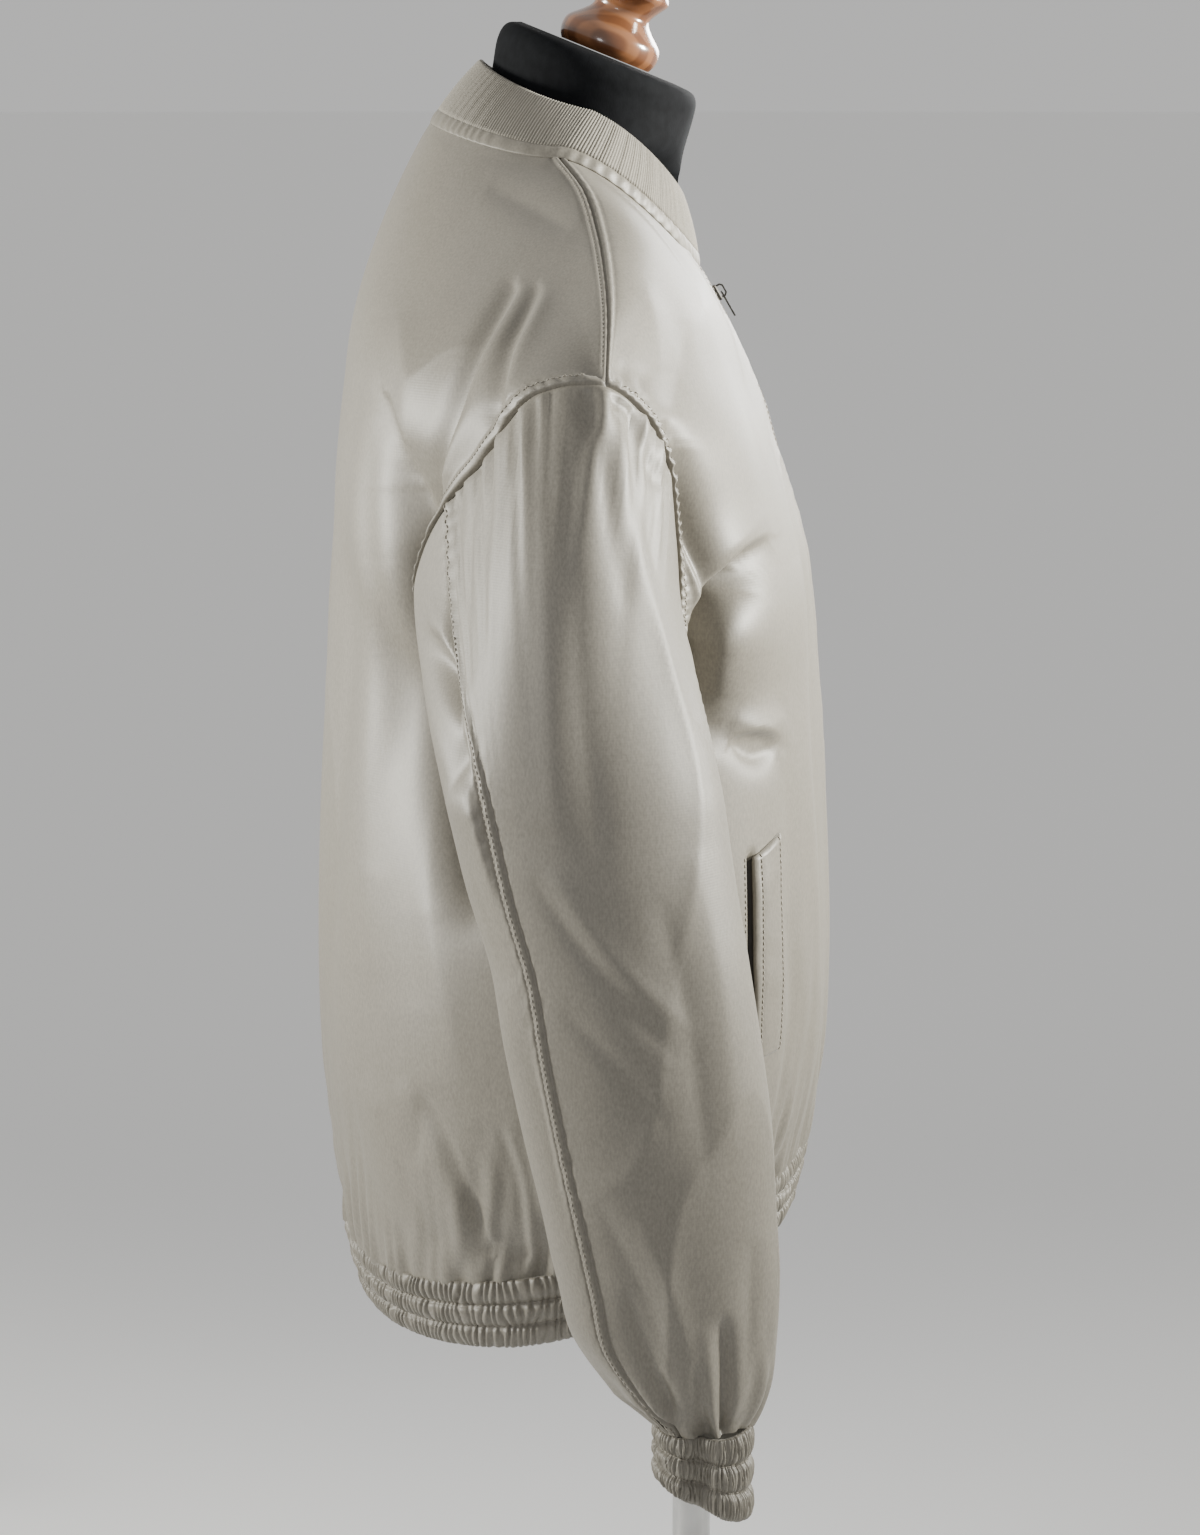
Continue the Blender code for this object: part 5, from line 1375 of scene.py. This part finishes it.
def build_stage():
    """A plain pale floor."""
    turn = np.linspace(0, 2 * math.pi, FLOOR_SIDES + 1)[:-1]
    vertices = [(FLOOR_REACH * math.cos(a), FLOOR_REACH * math.sin(a), -FLOOR_DROP) for a in turn]
    mesh = bpy.data.meshes.new("backdrop")
    mesh.from_pydata(vertices, [], [tuple(range(FLOOR_SIDES))])
    mesh.materials.append(look("pale_paper", (0.93, 0.93, 0.925), 0.90))
    floor = bpy.data.objects.new("backdrop", mesh)
    bpy.context.scene.collection.objects.link(floor)


AMBIENT = 0.58
WARM, COOL = (1.0, 0.985, 0.915), (0.98, 0.98, 1.0)
# Soft lamps: name, place, what it looks at, size, watts, colour, spread in degrees
LIGHTS = [
    ("key", (-0.12, -1.90, 1.16), (-0.06, 0.00, 0.90), (0.40, 0.55), 16.0, WARM, 52),
    ("back_side", (-0.16, 1.98, 0.86), (-0.08, 0.12, 0.72), (0.40, 0.55), 7.0, WARM, 52),
    ("camera_side", (-2.10, 0.95, 0.98), (-0.28, 0.04, 0.74), (0.40, 0.40), 0.4, COOL, 44),
    ("far_side", (1.80, -0.90, 1.20), (0.05, 0.05, 0.72), (0.90, 0.90), 5.0, (1, 1, 1), 52),
]


def area_light(name, place, target, size, power, colour, spread):
    light = bpy.data.lights.new(name, "AREA")
    light.shape = "RECTANGLE"
    light.size, light.size_y = size
    light.energy = power
    light.color = colour
    light.spread = math.radians(spread)
    lamp = bpy.data.objects.new(name, light)
    lamp.location = place
    lamp.rotation_euler = (Vector(target) - Vector(place)).to_track_quat("-Z", "Y").to_euler()
    bpy.context.scene.collection.objects.link(lamp)


def build_light():
    world = bpy.data.worlds.new("soft_studio")
    world.use_nodes = True
    background = world.node_tree.nodes["Background"]
    background.inputs["Color"].default_value = (1.0, 0.995, 0.985, 1)
    background.inputs["Strength"].default_value = AMBIENT
    bpy.context.scene.world = world
    for row in LIGHTS:
        area_light(*row)


def build_camera():
    camera = bpy.data.cameras.new("photo_camera")
    camera.sensor_fit = "VERTICAL"
    camera.sensor_height = 36
    camera.lens = 36 * FOCAL / IMAGE[1]
    camera.clip_start = 0.05
    seen = bpy.data.objects.new("photo_camera", camera)
    seen.location = CAMERA
    seen.rotation_euler = (math.pi / 2 - PITCH, 0, -math.pi / 2)
    bpy.context.scene.collection.objects.link(seen)
    bpy.context.scene.camera = seen


build_stage()
build_light()
build_camera()
